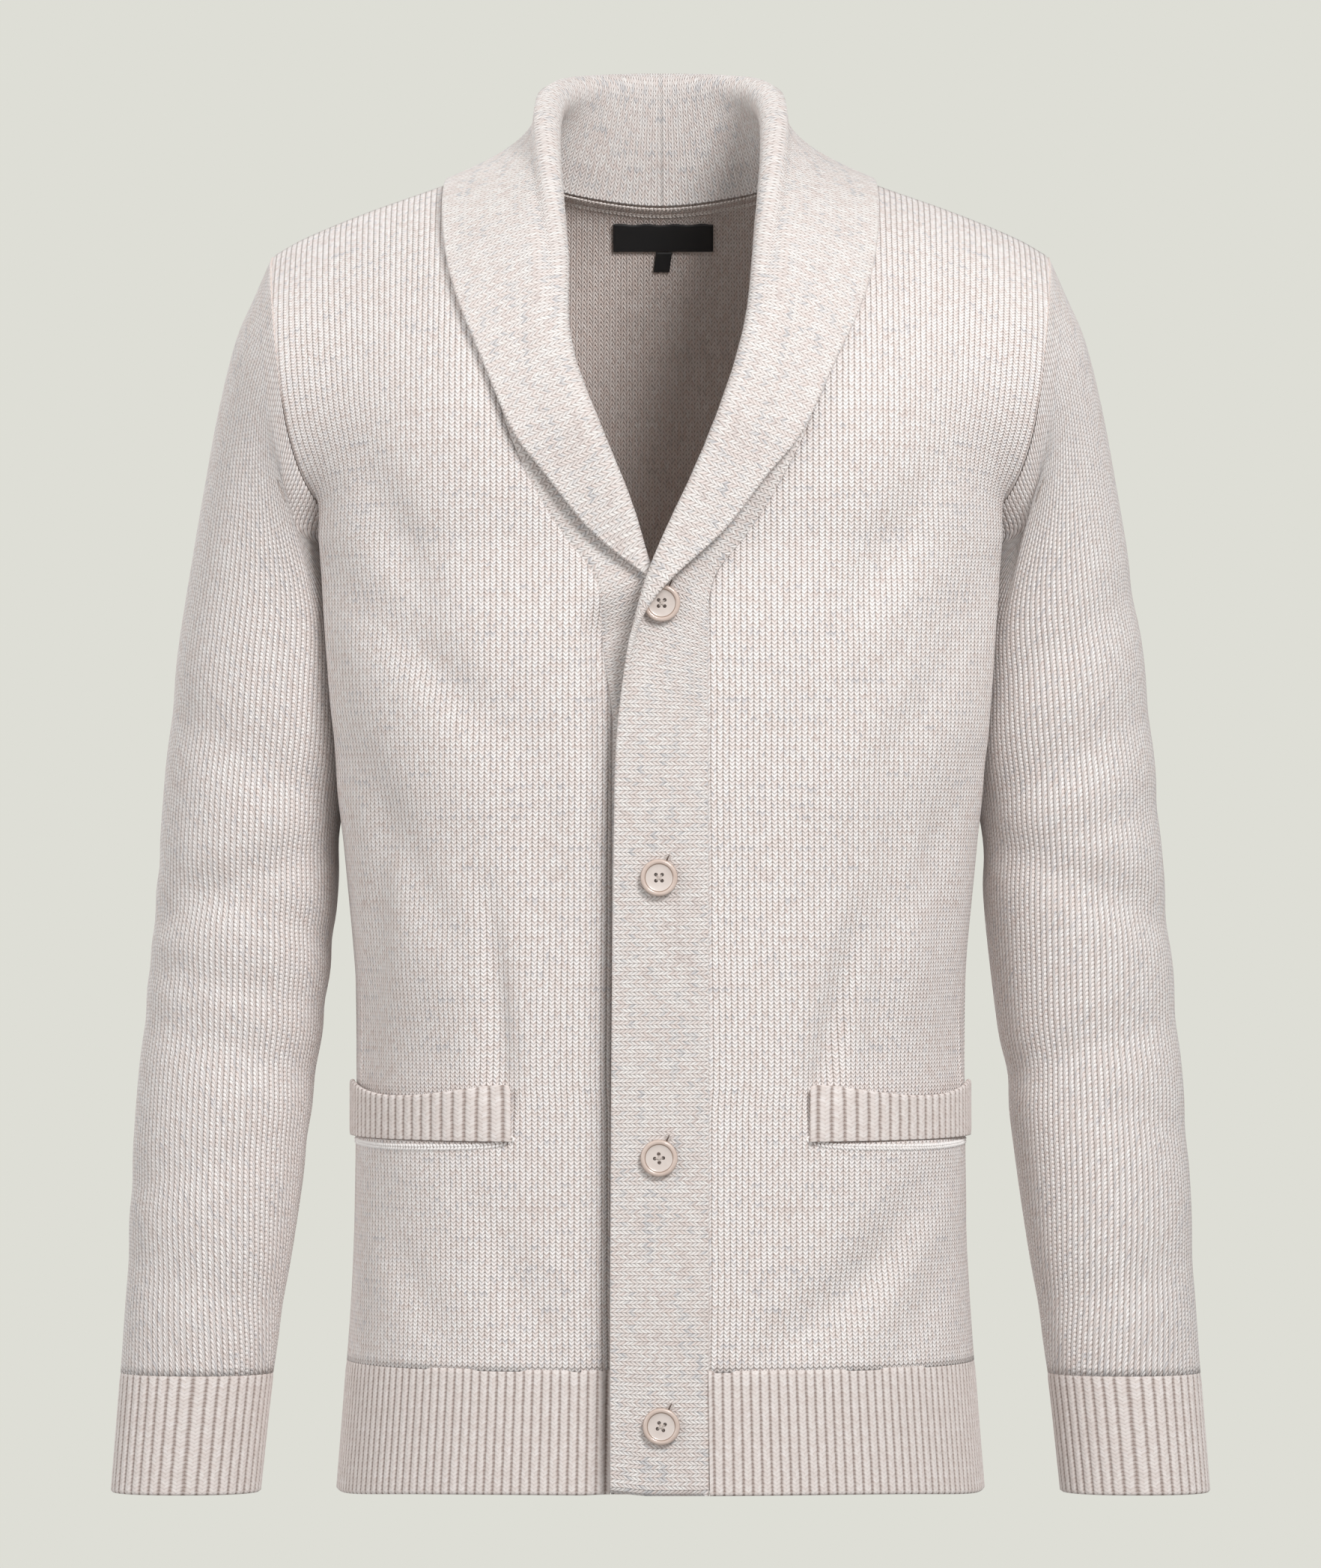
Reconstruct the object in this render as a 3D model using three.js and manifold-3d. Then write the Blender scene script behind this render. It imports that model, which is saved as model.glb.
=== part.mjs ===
// Shawl collar cardigan, filled out with no wearer, in millimetres.
// +Z is up, the front faces -Y and the wearer's left is +X.
// The origin is the middle of the neck, at the height where the shoulders carry the garment.
// Every cloth piece is a thin wall: a grid of outer points and a grid of inner points behind them.

import * as THREE from 'three';
import * as BufferGeometryUtils from 'three/addons/utils/BufferGeometryUtils.js';
import Module from 'manifold-3d';

const wasm = await Module();
wasm.setup();

// Cloth thickness and seam allowances
const BODY_WALL = 2.5;
const STRIP_WALL = 3;
const RIB_WALL = 2.4;
const RIB_RELIEF = 0.8;
const SEAM_HALF_GAP = 0.15;
const LYING_GAP = 0.4;

// Heights of the garment's main lines
const ARMPIT_Z = -208;
const RIB_TOP_Z = -655;
const HEM_FRONT_Z = -721;
const HEM_SIDE_Z = -726;
const HEM_MIDDLE_Z = -690;
const CUFF_TOP_Z = -662;
const CUFF_BOTTOM_Z = -727;
const STRIP_FOOT_Z = -721;
const SIDE_SEAM_Y = 12;

// Pocket, by its welt
const WELT_SEAM_Z = -532;
const WELT_TOP_Z = -501;
const POCKET_RECESS = 5.6;
const POCKET_BULGE = 2.5;
const BAG_BOTTOM_Z = -640;

// Right front and band lie under the left band
const UNDERLAP_SHIFT = 6;
const UNDERLAP_DEPTH = 3.8;

const CLOTH = 0xcfc8c4;
const RIB_CLOTH = 0xc9c1bd;
const STRIP_CLOTH = 0xd6d0cd;
const LABEL_BLACK = 0x121214;
const BUTTON_HORN = 0xcdb9ad;

// Round sections of the body, one row a height
const bodySections = [
  { z: -727, wide: 178, front: -117, back: 112 },
  { z: -662, wide: 172.5, front: -118, back: 109 },
  { z: -610, wide: 169, front: -119, back: 107 },
  { z: -560, wide: 167.5, front: -119, back: 103 },
  { z: -500, wide: 167, front: -120, back: 96 },
  { z: -440, wide: 168, front: -122, back: 91 },
  { z: -376, wide: 174.5, front: -125, back: 92 },
  { z: -340, wide: 181, front: -127, back: 95 },
  { z: -264, wide: 190, front: -128, back: 101 },
  { z: -208, wide: 196, front: -124, back: 105 },
];

// Level sections of the sleeve, one row a height
const sleeveSections = [
  { z: -208, outer: 255.5, inner: 171, front: -46, back: 84 },
  { z: -247, outer: 262, inner: 168.5, front: -45, back: 86 },
  { z: -321, outer: 271, inner: 168.5, front: -42, back: 86 },
  { z: -375, outer: 275.5, inner: 175, front: -39, back: 84 },
  { z: -420, outer: 280, inner: 179, front: -36, back: 80 },
  { z: -468, outer: 284, inner: 184.5, front: -34, back: 74 },
  { z: -517, outer: 288, inner: 191, front: -35, back: 67 },
  { z: -567, outer: 291, inner: 197.6, front: -37, back: 60 },
  { z: -616, outer: 292.8, inner: 205, front: -38, back: 51 },
  { z: -662, outer: 295.6, inner: 212, front: -37, back: 40 },
  { z: -727, outer: 300.5, inner: 219, front: -35, back: 29 },
];

// Sleeve rings that fan out about the armpit, from the shoulder down
const capRings = [
  { outerX: 222, outerZ: -73, innerX: 171.4, innerZ: -214.5, front: -57, back: 66 },
  { outerX: 232.5, outerZ: -97, innerX: 170, innerZ: -221, front: -55, back: 72 },
  { outerX: 242, outerZ: -134, innerX: 169.4, innerZ: -231, front: -52, back: 77 },
  { outerX: 250, outerZ: -176, innerX: 168.9, innerZ: -244, front: -49, back: 81 },
  { outerX: 258, outerZ: -222, innerX: 168.5, innerZ: -262, front: -46, back: 84 },
  { outerX: 265.5, outerZ: -270, innerX: 168.5, innerZ: -290, front: -44, back: 86 },
];
const SLEEVE_LEVELS = [-326, -375, -420, -468, -517, -567, -616];

// Armhole seam, from the armpit up to the shoulder point
const armholeSeam = [
  { rise: 0, frontX: 170, frontY: 12, backX: 170, backY: 12 },
  { rise: 0.0245, frontX: 174, frontY: -12, backX: 170.1, backY: 31 },
  { rise: 0.0955, frontX: 182.5, frontY: -31, backX: 173, backY: 47 },
  { rise: 0.206, frontX: 193.5, frontY: -46, backX: 182, backY: 58 },
  { rise: 0.345, frontX: 201, frontY: -55, backX: 191, backY: 64 },
  { rise: 0.5, frontX: 205.5, frontY: -58, backX: 198, backY: 66 },
  { rise: 0.655, frontX: 208.5, frontY: -55, backX: 203.5, backY: 63 },
  { rise: 0.794, frontX: 210.7, frontY: -46, backX: 207.5, backY: 55 },
  { rise: 0.905, frontX: 212.3, frontY: -31, backX: 210.5, backY: 41 },
  { rise: 0.9755, frontX: 213, frontY: -12, backX: 212.5, backY: 24 },
  { rise: 1, frontX: 213, frontY: 8, backX: 213, backY: 8 },
];
const SHOULDER_POINT_Z = -51;

// Shoulder seam, from the neck to the sleeve
const shoulderSeam = [
  { along: 0, x: 88, y: 14, z: 0 },
  { along: 0.3, x: 125, y: 15, z: -13.5 },
  { along: 0.6, x: 163, y: 15, z: -27 },
  { along: 0.85, x: 196, y: 12, z: -41 },
  { along: 1, x: 213, y: 8, z: -51 },
];

// Back neckline, from the shoulder seam to the centre back
const backNeck = [
  { along: 0, x: 88, y: 14, z: 0 },
  { along: 0.3, x: 72, y: 38, z: -7 },
  { along: 0.6, x: 44, y: 54, z: -15 },
  { along: 1, x: 0, y: 61, z: -20 },
];

// Front neckline and band seam, by height
const neckSeam = [
  { z: -727, x: 26 },
  { z: -340, x: 25.4 },
  { z: -262, x: 25.2 },
  { z: -238, x: 26.6 },
  { z: -225, x: 31.4 },
  { z: -207, x: 45.6 },
  { z: -186, x: 59.4 },
  { z: -151, x: 77.6 },
  { z: -120, x: 87 },
  { z: -90, x: 91 },
  { z: -50, x: 92 },
  { z: -20, x: 90.5 },
  { z: 0, x: 88 },
];

// Collar and band strip. Place counts along its seam: heights up to the shoulder, then hundredths
// of the back neck. Fold and edge are on the face that shows, and out is how far it stands off the chest.
const leftLapel = [
  { place: -721, foldX: -10, foldZ: -721, foldOut: 0, edgeX: -27, edgeZ: -719, edgeOut: 0, roll: 2.2 },
  { place: -600, foldX: -10, foldZ: -600, foldOut: 0, edgeX: -27, edgeZ: -600, edgeOut: 0, roll: 2.2 },
  { place: -340, foldX: -10, foldZ: -340, foldOut: 0, edgeX: -24.5, edgeZ: -340, edgeOut: 0, roll: 2.2 },
  { place: -292, foldX: -12, foldZ: -290, foldOut: 0, edgeX: -21, edgeZ: -290, edgeOut: 1.5, roll: 2.2 },
  { place: -262, foldX: -16.5, foldZ: -248, foldOut: 1.5, edgeX: -12, edgeZ: -252.5, edgeOut: 11.4, roll: 2.6 },
  { place: -238, foldX: -8.5, foldZ: -220, foldOut: 7.5, edgeX: 8, edgeZ: -228, edgeOut: 15, roll: 2.6 },
  { place: -218, foldX: 3, foldZ: -203, foldOut: 6, edgeX: 31, edgeZ: -214, edgeOut: 11, roll: 2.6 },
  { place: -186, foldX: 18.5, foldZ: -169, foldOut: 4, edgeX: 50, edgeZ: -183, edgeOut: 10, roll: 3 },
  { place: -151, foldX: 33.5, foldZ: -132, foldOut: 3, edgeX: 79, edgeZ: -150, edgeOut: 7.5, roll: 3.5 },
];
const rightLapel = [
  { place: -721, foldX: -10, foldZ: -721, foldOut: 0, edgeX: -27, edgeZ: -719, edgeOut: 0, roll: 2.2 },
  { place: -300, foldX: -10, foldZ: -300, foldOut: 0, edgeX: -26, edgeZ: -300, edgeOut: 0, roll: 2.2 },
  { place: -262, foldX: -10, foldZ: -250, foldOut: 0, edgeX: -20, edgeZ: -250, edgeOut: 0, roll: 2.2 },
  { place: -238, foldX: -6, foldZ: -224, foldOut: 0, edgeX: 0, edgeZ: -229, edgeOut: 4.5, roll: 2.2 },
  { place: -218, foldX: 3, foldZ: -204, foldOut: 0.5, edgeX: 27, edgeZ: -215, edgeOut: 7, roll: 2.4 },
  { place: -186, foldX: 16.5, foldZ: -169, foldOut: 2, edgeX: 48, edgeZ: -183, edgeOut: 8.5, roll: 3 },
  { place: -151, foldX: 32, foldZ: -132, foldOut: 3, edgeX: 78, edgeZ: -150, edgeOut: 7.5, roll: 3.5 },
];

// Collar round the neck, where the fold stands off the body, in true places. Sag is how far the
// fall drops below a straight line from its roll to its edge.
const collarRows = [
  { place: -120, foldX: 43.5, foldY: -104, foldZ: -102, edgeX: 90, edgeY: -115, edgeZ: -119, roll: 4, turn: 8, sag: 0 },
  { place: -90, foldX: 48, foldY: -88, foldZ: -76, edgeX: 103.5, edgeY: -102, edgeZ: -93, roll: 4.8, turn: 20, sag: 2 },
  { place: -55, foldX: 51.5, foldY: -62, foldZ: -44, edgeX: 115, edgeY: -75, edgeZ: -59, roll: 5.6, turn: 38, sag: 5 },
  { place: -20, foldX: 53, foldY: -34, foldZ: -4, edgeX: 120, edgeY: -29, edgeZ: -18, roll: 6.4, turn: 62, sag: 9 },
  { place: 0, foldX: 52.5, foldY: -6, foldZ: 24, edgeX: 119, edgeY: 8, edgeZ: -7, roll: 7, turn: 84, sag: 11 },
  { place: 30, foldX: 48, foldY: 26, foldZ: 44, edgeX: 112, edgeY: 50, edgeZ: -10, roll: 7, turn: 115, sag: 11 },
  { place: 60, foldX: 32, foldY: 52, foldZ: 52, edgeX: 78, edgeY: 84, edgeZ: -25, roll: 6.5, turn: 150, sag: 8 },
  { place: 100, foldX: 0, foldY: 66, foldZ: 55, edgeX: 0, edgeY: 92, edgeZ: -36, roll: 6, turn: 180, sag: 6 },
];

// Broad folds in the fronts: a line from one place to another, with its depth and half width
const frontFolds = [
  { fromX: 178, fromZ: -230, toX: 95, toZ: -300, depth: 3.5, width: 17 },
  { fromX: 168, fromZ: -330, toX: 90, toZ: -395, depth: 2.5, width: 18 },
  { fromX: 92, fromZ: -500, toX: 104, toZ: -420, depth: 2.6, width: 10 },
  { fromX: 150, fromZ: -560, toX: 84, toZ: -625, depth: 2.5, width: 17 },
];

// Broad folds in the sleeves: height at the outer side, drop across, depth and half width
const sleeveFolds = [
  { z: -300, drop: 55, depth: 3, width: 16 },
  { z: -415, drop: -45, depth: 4, width: 15 },
  { z: -468, drop: 30, depth: 3, width: 14 },
  { z: -600, drop: 25, depth: 2, width: 15 },
];

const group = new THREE.Group();

function mix(a, b, t) {
  return a + (b - a) * t;
}

function ease(low, high, value) {
  const t = THREE.MathUtils.clamp((value - low) / (high - low), 0, 1);
  return t * t * (3 - 2 * t);
}

// Smooth line through one column of a table, against its key column
function track(rows, keyName, valueName, at) {
  const count = rows.length;
  if (at <= rows[0][keyName]) return rows[0][valueName];
  if (at >= rows[count - 1][keyName]) return rows[count - 1][valueName];
  let k = 0;
  while (at > rows[k + 1][keyName]) k += 1;
  const slope = (i) => {
    const before = rows[Math.max(i - 1, 0)];
    const after = rows[Math.min(i + 1, count - 1)];
    return (after[valueName] - before[valueName]) / (after[keyName] - before[keyName]);
  };
  const span = rows[k + 1][keyName] - rows[k][keyName];
  const t = (at - rows[k][keyName]) / span;
  const t2 = t * t;
  const t3 = t2 * t;
  return (2 * t3 - 3 * t2 + 1) * rows[k][valueName]
    + (t3 - 2 * t2 + t) * span * slope(k)
    + (3 * t2 - 2 * t3) * rows[k + 1][valueName]
    + (t3 - t2) * span * slope(k + 1);
}

const downward = (rows) => [...rows].sort((a, b) => a.z - b.z);
const bodyUp = downward(bodySections);
const sleeveUp = downward(sleeveSections);
const seamUp = downward(neckSeam);

const point = (x, y, z) => new THREE.Vector3(x, y, z);

// Level section of the body: turn 0 is the front centre, 90 the side and 180 the back centre
const BODY_POWER = 2 / 2.3;
const SLEEVE_POWER = 2 / 2.2;
const SLEEVE_CLEARANCE = 1.8;
const SLEEVE_PRESS_SOFT = 3.5;

function bodyPoint(z, turnDeg) {
  const turn = THREE.MathUtils.degToRad(turnDeg);
  const side = Math.sin(turn);
  const ahead = Math.cos(turn);
  const depth = (ahead >= 0 ? track(bodyUp, 'z', 'front', z) : track(bodyUp, 'z', 'back', z)) - SIDE_SEAM_Y;
  let x = track(bodyUp, 'z', 'wide', z) * Math.abs(side) ** BODY_POWER;
  const y = SIDE_SEAM_Y + depth * Math.abs(ahead) ** BODY_POWER;
  x = pressedBySleeve(x, y, z);
  return point(x, y, z);
}

// The hanging sleeve presses the body's side in
function pressedBySleeve(x, y, z) {
  if (z < -450) return x;
  const level = Math.min(z, ARMPIT_Z);
  const outer = track(sleeveUp, 'z', 'outer', level);
  const inner = track(sleeveUp, 'z', 'inner', level);
  const front = track(sleeveUp, 'z', 'front', level);
  const back = track(sleeveUp, 'z', 'back', level);
  const off = Math.abs((y - (front + back) / 2) / ((back - front) / 2));
  if (off >= 1) return x;
  const reach = ((outer - inner) / 2) * (1 - off ** 2.2) ** (1 / 2.2);
  const limit = (outer + inner) / 2 - reach - SLEEVE_CLEARANCE;
  const soft = SLEEVE_PRESS_SOFT;
  return -soft * Math.log(Math.exp(-x / soft) + Math.exp(-limit / soft));
}

// Turn at which a section passes a given half width, near the front or near the back
function turnAtWidth(z, x) {
  let low = 0;
  let high = 60;
  for (let i = 0; i < 30; i += 1) {
    const middle = (low + high) / 2;
    if (bodyPoint(z, middle).x < x) low = middle;
    else high = middle;
  }
  return (low + high) / 2;
}

// Armhole seam by its rise, 0 at the armpit and 1 at the shoulder point, on the front or the back
function armholePoint(rise, back) {
  const x = track(armholeSeam, 'rise', back ? 'backX' : 'frontX', rise);
  const y = track(armholeSeam, 'rise', back ? 'backY' : 'frontY', rise);
  return point(rise === 0 ? bodyPoint(ARMPIT_Z, 90).x : x, y, mix(ARMPIT_Z, SHOULDER_POINT_Z, rise));
}

// Turn at which the armpit section reaches a depth
function turnAtDepth(y) {
  const back = y > SIDE_SEAM_Y;
  const reach = track(bodyUp, 'z', back ? 'back' : 'front', ARMPIT_Z) - SIDE_SEAM_Y;
  const turn = THREE.MathUtils.radToDeg(Math.acos(((y - SIDE_SEAM_Y) / reach) ** (1 / BODY_POWER)));
  return back ? 180 - turn : turn;
}

// Half width of the body at a depth and height, near its side
function sideX(y, z) {
  const level = Math.min(z, ARMPIT_Z);
  const back = y > SIDE_SEAM_Y;
  const reach = track(bodyUp, 'z', back ? 'back' : 'front', level) - SIDE_SEAM_Y;
  const share = THREE.MathUtils.clamp((y - SIDE_SEAM_Y) / reach, 0, 1);
  const turn = Math.acos(share ** (1 / BODY_POWER));
  const x = pressedBySleeve(track(bodyUp, 'z', 'wide', level) * Math.sin(turn) ** BODY_POWER, y, level);
  const rise = THREE.MathUtils.clamp((z - ARMPIT_Z) / (SHOULDER_POINT_Z - ARMPIT_Z), 0, 0.5);
  return x + 30 * rise;
}

// Rows of the fronts and the back
const BODY_LEVELS = [-655, -612, -572, -532, -526, -498, -470, -436, -398, -360, -325, -292, -262, -236];
const YOKE_ROWS = 10;
const FRONT_STEPS = [0, 0.1, 0.205, 0.33, 0.46, 0.6, 0.74, 0.87, 1];
const NECK_COLUMNS = 5;
const archOverShoulder = (v) => 1 - (1 - v ** 2.3) ** 0.62;

// Columns gather toward the side, where the section turns fastest
const turnShare = (u) => u ** 0.92;

function frontBodyRow(z, steps) {
  const seamX = track(seamUp, 'z', 'x', z);
  const first = turnAtWidth(z, seamX);
  return steps.map((u) => folded(bodyPoint(z, mix(first, 90, turnShare(u)))));
}

// Broad folds, laid into a front point
function folded(p) {
  const share = 1 - ease(-45, 5, p.y);
  let inward = 0;
  for (const fold of frontFolds) {
    const ax = fold.toX - fold.fromX;
    const az = fold.toZ - fold.fromZ;
    const t = THREE.MathUtils.clamp(
      ((p.x - fold.fromX) * ax + (p.z - fold.fromZ) * az) / (ax * ax + az * az), 0, 1);
    const away = Math.hypot(p.x - fold.fromX - t * ax, p.z - fold.fromZ - t * az);
    inward += fold.depth * (1 - 0.7 * t) * Math.exp(-((away / fold.width) ** 2));
  }
  return point(p.x, p.y + inward * share, p.z);
}

// Just above the armpit only the columns next to the armhole move off the side
const crowding = (v) => 1.2 + 5 * Math.max(0, 1 - v / 0.5) ** 2;

function frontYokeRow(v, steps) {
  const neckZ = ARMPIT_Z * (1 - v);
  const neckX = track(seamUp, 'z', 'x', neckZ);
  const arch = archOverShoulder(v);
  const armhole = armholePoint(v, false);
  const first = turnAtWidth(ARMPIT_Z, track(seamUp, 'z', 'x', ARMPIT_Z));
  const last = turnAtDepth(v < 0.5 ? armhole.y : armholePoint(0.5, false).y);
  const foot = (u) => folded(bodyPoint(ARMPIT_Z, mix(first, 90, turnShare(u)) - (90 - last) * u ** crowding(v)));
  const top = (u) => point(
    track(shoulderSeam, 'along', 'x', u),
    track(shoulderSeam, 'along', 'y', u),
    track(shoulderSeam, 'along', 'z', u),
  );
  const ruled = (u) => {
    const low = foot(u);
    const high = top(u);
    return point(mix(low.x, high.x, v), mix(low.y, high.y, arch), mix(low.z, high.z, v));
  };
  const neckEnd = ruled(0);
  const armEnd = ruled(1);
  return steps.map((u) => {
    const p = ruled(u);
    const neckShare = (1 - u) ** 1.6;
    const armShare = u ** 4;
    p.x += (neckX - neckEnd.x) * neckShare + (armhole.x - armEnd.x) * armShare;
    p.y += (armhole.y - armEnd.y) * armShare;
    p.z += (neckZ - neckEnd.z) * neckShare + (armhole.z - armEnd.z) * armShare;
    return p;
  });
}

const yokeShares = Array.from({ length: YOKE_ROWS + 1 }, (_, j) => (1 - Math.cos((Math.PI * j) / YOKE_ROWS)) / 2);
const leftFront = [
  ...BODY_LEVELS.map((z) => frontBodyRow(z, FRONT_STEPS)),
  ...yokeShares.map((v) => (v === 0 ? frontBodyRow(ARMPIT_Z, FRONT_STEPS) : frontYokeRow(v, FRONT_STEPS))),
];

// Right front: the mirror image, moved out from the centre and sunk under the left band
function underlap(p) {
  const near = (1 - ease(48, 120, Math.abs(p.x))) * (1 - ease(-120, -50, p.z));
  return point(-p.x - UNDERLAP_SHIFT * near, p.y + UNDERLAP_DEPTH * near, p.z);
}
const rightFront = leftFront.map((row) => row.map(underlap));

// Half of the back, from the centre back to the side seam and the armhole
const backSteps = [];
for (let k = 0; k < NECK_COLUMNS; k += 1) backSteps.push({ neck: 1 - k / NECK_COLUMNS, u: 0.4 * (k / NECK_COLUMNS) });
for (const u of FRONT_STEPS) backSteps.push({ neck: null, u: 0.4 + 0.6 * u, shoulder: u });

function backBodyRow(z) {
  return backSteps.map((step) => bodyPoint(z, mix(180, 90, step.u)));
}

function backYokeRow(v) {
  const armhole = armholePoint(v, true);
  const arch = archOverShoulder(v);
  const last = turnAtDepth(v < 0.5 ? armhole.y : armholePoint(0.5, true).y);
  const top = (step) => {
    const table = step.neck === null ? shoulderSeam : backNeck;
    const along = step.neck === null ? step.shoulder : step.neck;
    return point(track(table, 'along', 'x', along), track(table, 'along', 'y', along), track(table, 'along', 'z', along));
  };
  const ruled = (step) => {
    const low = bodyPoint(ARMPIT_Z, mix(180, 90, step.u) + (last - 90) * step.u ** crowding(v));
    const high = top(step);
    return point(mix(low.x, high.x, v), mix(low.y, high.y, arch), mix(low.z, high.z, v));
  };
  const armEnd = ruled(backSteps[backSteps.length - 1]);
  return backSteps.map((step) => {
    const p = ruled(step);
    const armShare = step.u ** 5;
    p.x += (armhole.x - armEnd.x) * armShare;
    p.y += (armhole.y - armEnd.y) * armShare;
    p.z += (armhole.z - armEnd.z) * armShare;
    return p;
  });
}

const halfBack = [
  ...BODY_LEVELS.map((z) => backBodyRow(z)),
  ...yokeShares.map((v) => (v === 0 ? backBodyRow(ARMPIT_Z) : backYokeRow(v))),
];
const mirror = (p) => point(-p.x, p.y, p.z);
const wholeBack = halfBack.map((row) => [...row.slice(1).reverse(), ...row.slice(0).map(mirror)]);

// Sleeve rings: 2 x YOKE_ROWS columns, the front half from the armpit up, then the back half down
const RING_COLUMNS = 2 * YOKE_ROWS;

function armholeRing() {
  const ring = [];
  for (let k = 0; k < RING_COLUMNS; k += 1) {
    const onBack = k > YOKE_ROWS;
    ring.push(armholePoint(yokeShares[onBack ? RING_COLUMNS - k : k], onBack));
  }
  return ring;
}

// A ring between its outer and inner points, kept clear of the body's side
function sleeveRing(outer, inner, front, back, columns, clear = SLEEVE_CLEARANCE) {
  const ring = [];
  for (let k = 0; k < columns; k += 1) {
    const turn = Math.PI - (2 * Math.PI * k) / columns;
    const across = Math.sign(Math.cos(turn)) * Math.abs(Math.cos(turn)) ** SLEEVE_POWER;
    const y = (front + back) / 2 - Math.sign(turn) * Math.abs(Math.sin(turn)) ** SLEEVE_POWER * ((back - front) / 2);
    const z = mix(inner.z, outer.z, (1 + across) / 2);
    const x = mix(inner.x, outer.x, (1 + across) / 2);
    const limit = z > -450 ? sideX(y, z) + clear : x - 50;
    const soft = 1.5;
    ring.push(point(soft * Math.log(Math.exp((x - 200) / soft) + Math.exp((limit - 200) / soft)) + 200, y, z));
  }
  return ring;
}

function levelRing(z, columns, innerDrop = 0) {
  const outer = point(track(sleeveUp, 'z', 'outer', z), 0, z);
  const inner = point(track(sleeveUp, 'z', 'inner', z), 0, z - innerDrop);
  return sleeveRing(outer, inner, track(sleeveUp, 'z', 'front', z), track(sleeveUp, 'z', 'back', z), columns);
}

// Broad folds round the sleeve, strongest at its inner side
function creaseDepth(z, columns, k) {
  const turn = Math.PI - (2 * Math.PI * k) / columns;
  let inward = 0;
  for (const fold of sleeveFolds) {
    const height = fold.z - (fold.drop * (1 - Math.cos(turn))) / 2;
    const strength = 0.35 + 0.65 * Math.abs(Math.sin(turn)) ** 1.5;
    inward += fold.depth * strength * Math.exp(-(((z - height) / fold.width) ** 2));
  }
  return inward;
}

const sleeveGrid = [armholeRing()];
const plainTop = point(213, 0, SHOULDER_POINT_Z);
const plainPit = point(170, 0, ARMPIT_Z);
const plainRing = sleeveRing(plainTop, plainPit, -58, 66, RING_COLUMNS, -80);
const seamBow = sleeveGrid[0].map((p, k) => p.x - plainRing[k].x);
const BOW_KEPT = [1, 0.78, 0.52, 0.3, 0.14, 0.04];
capRings.forEach((row, i) => {
  const outer = point(row.outerX, 0, row.outerZ);
  const inner = point(row.innerX, 0, row.innerZ);
  const ring = sleeveRing(outer, inner, row.front, row.back, RING_COLUMNS);
  ring.forEach((p, k) => {
    p.x += Math.max(seamBow[k], 0) * BOW_KEPT[i];
  });
  sleeveGrid.push(ring);
});
for (const z of SLEEVE_LEVELS) sleeveGrid.push(levelRing(z, RING_COLUMNS));
sleeveGrid.push(levelRing(CUFF_TOP_Z, RING_COLUMNS));
sleeveGrid.forEach((ring, i) => {
  if (i < 4) return;
  const middle = ring.reduce((sum, p) => sum.add(p.clone()), point(0, 0, 0)).divideScalar(ring.length);
  ring.forEach((p, k) => {
    const inward = creaseDepth(p.z, RING_COLUMNS, k);
    const pull = point(middle.x - p.x, middle.y - p.y, 0).normalize();
    p.addScaledVector(pull, inward);
  });
});

// Normals of all outer grids are added up where pieces meet, so both sides of a seam share one
const seamNormals = new Map();
const spot = (p) => `${Math.round(p.x * 20)},${Math.round(p.y * 20)},${Math.round(p.z * 20)}`;

function gridNormals(grid, round, facing) {
  const rows = grid.length;
  const cols = grid[0].length;
  const normals = grid.map((row) => row.map(() => point(0, 0, 0)));
  const lastCol = round ? cols : cols - 1;
  for (let r = 0; r < rows - 1; r += 1) {
    for (let c = 0; c < lastCol; c += 1) {
      const d = (c + 1) % cols;
      const across = grid[r][d].clone().sub(grid[r + 1][c]);
      const along = grid[r + 1][d].clone().sub(grid[r][c]);
      const n = across.cross(along).multiplyScalar(facing);
      for (const [i, j] of [[r, c], [r, d], [r + 1, c], [r + 1, d]]) normals[i][j].add(n);
    }
  }
  normals.forEach((row) => row.forEach((n) => n.normalize()));
  return normals;
}

function shareNormals(grid, normals) {
  grid.forEach((row, r) => row.forEach((p, c) => {
    const key = spot(p);
    if (!seamNormals.has(key)) seamNormals.set(key, point(0, 0, 0));
    seamNormals.get(key).add(normals[r][c]);
  }));
}

function settledNormals(grid, normals, levelRows) {
  return grid.map((row, r) => row.map((p, c) => {
    const own = normals[r][c];
    const shared = seamNormals.get(spot(p)).clone().normalize();
    const agree = ease(0.3, 0.7, own.dot(shared));
    const n = own.clone().lerp(shared, agree);
    if (levelRows.includes(r)) n.z = 0;
    return n.normalize();
  }));
}

// Pulls a grid's edge back from the seam line
function pullBack(grid, round, amount) {
  const rows = grid.length;
  const cols = grid[0].length;
  const moved = grid.map((row) => row.map((p) => p.clone()));
  const step = (p, toward) => toward.clone().sub(p).setLength(amount);
  for (let c = 0; c < cols; c += 1) {
    moved[0][c].add(step(grid[0][c], grid[1][c]));
    moved[rows - 1][c].add(step(grid[rows - 1][c], grid[rows - 2][c]));
  }
  if (!round) {
    for (let r = 0; r < rows; r += 1) {
      moved[r][0].add(step(grid[r][0], grid[r][1]));
      moved[r][cols - 1].add(step(grid[r][cols - 1], grid[r][cols - 2]));
    }
  }
  return moved;
}

function behind(grid, normals, depth) {
  return grid.map((row, r) => row.map((p, c) => p.clone().addScaledVector(normals[r][c], -depth)));
}

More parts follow.
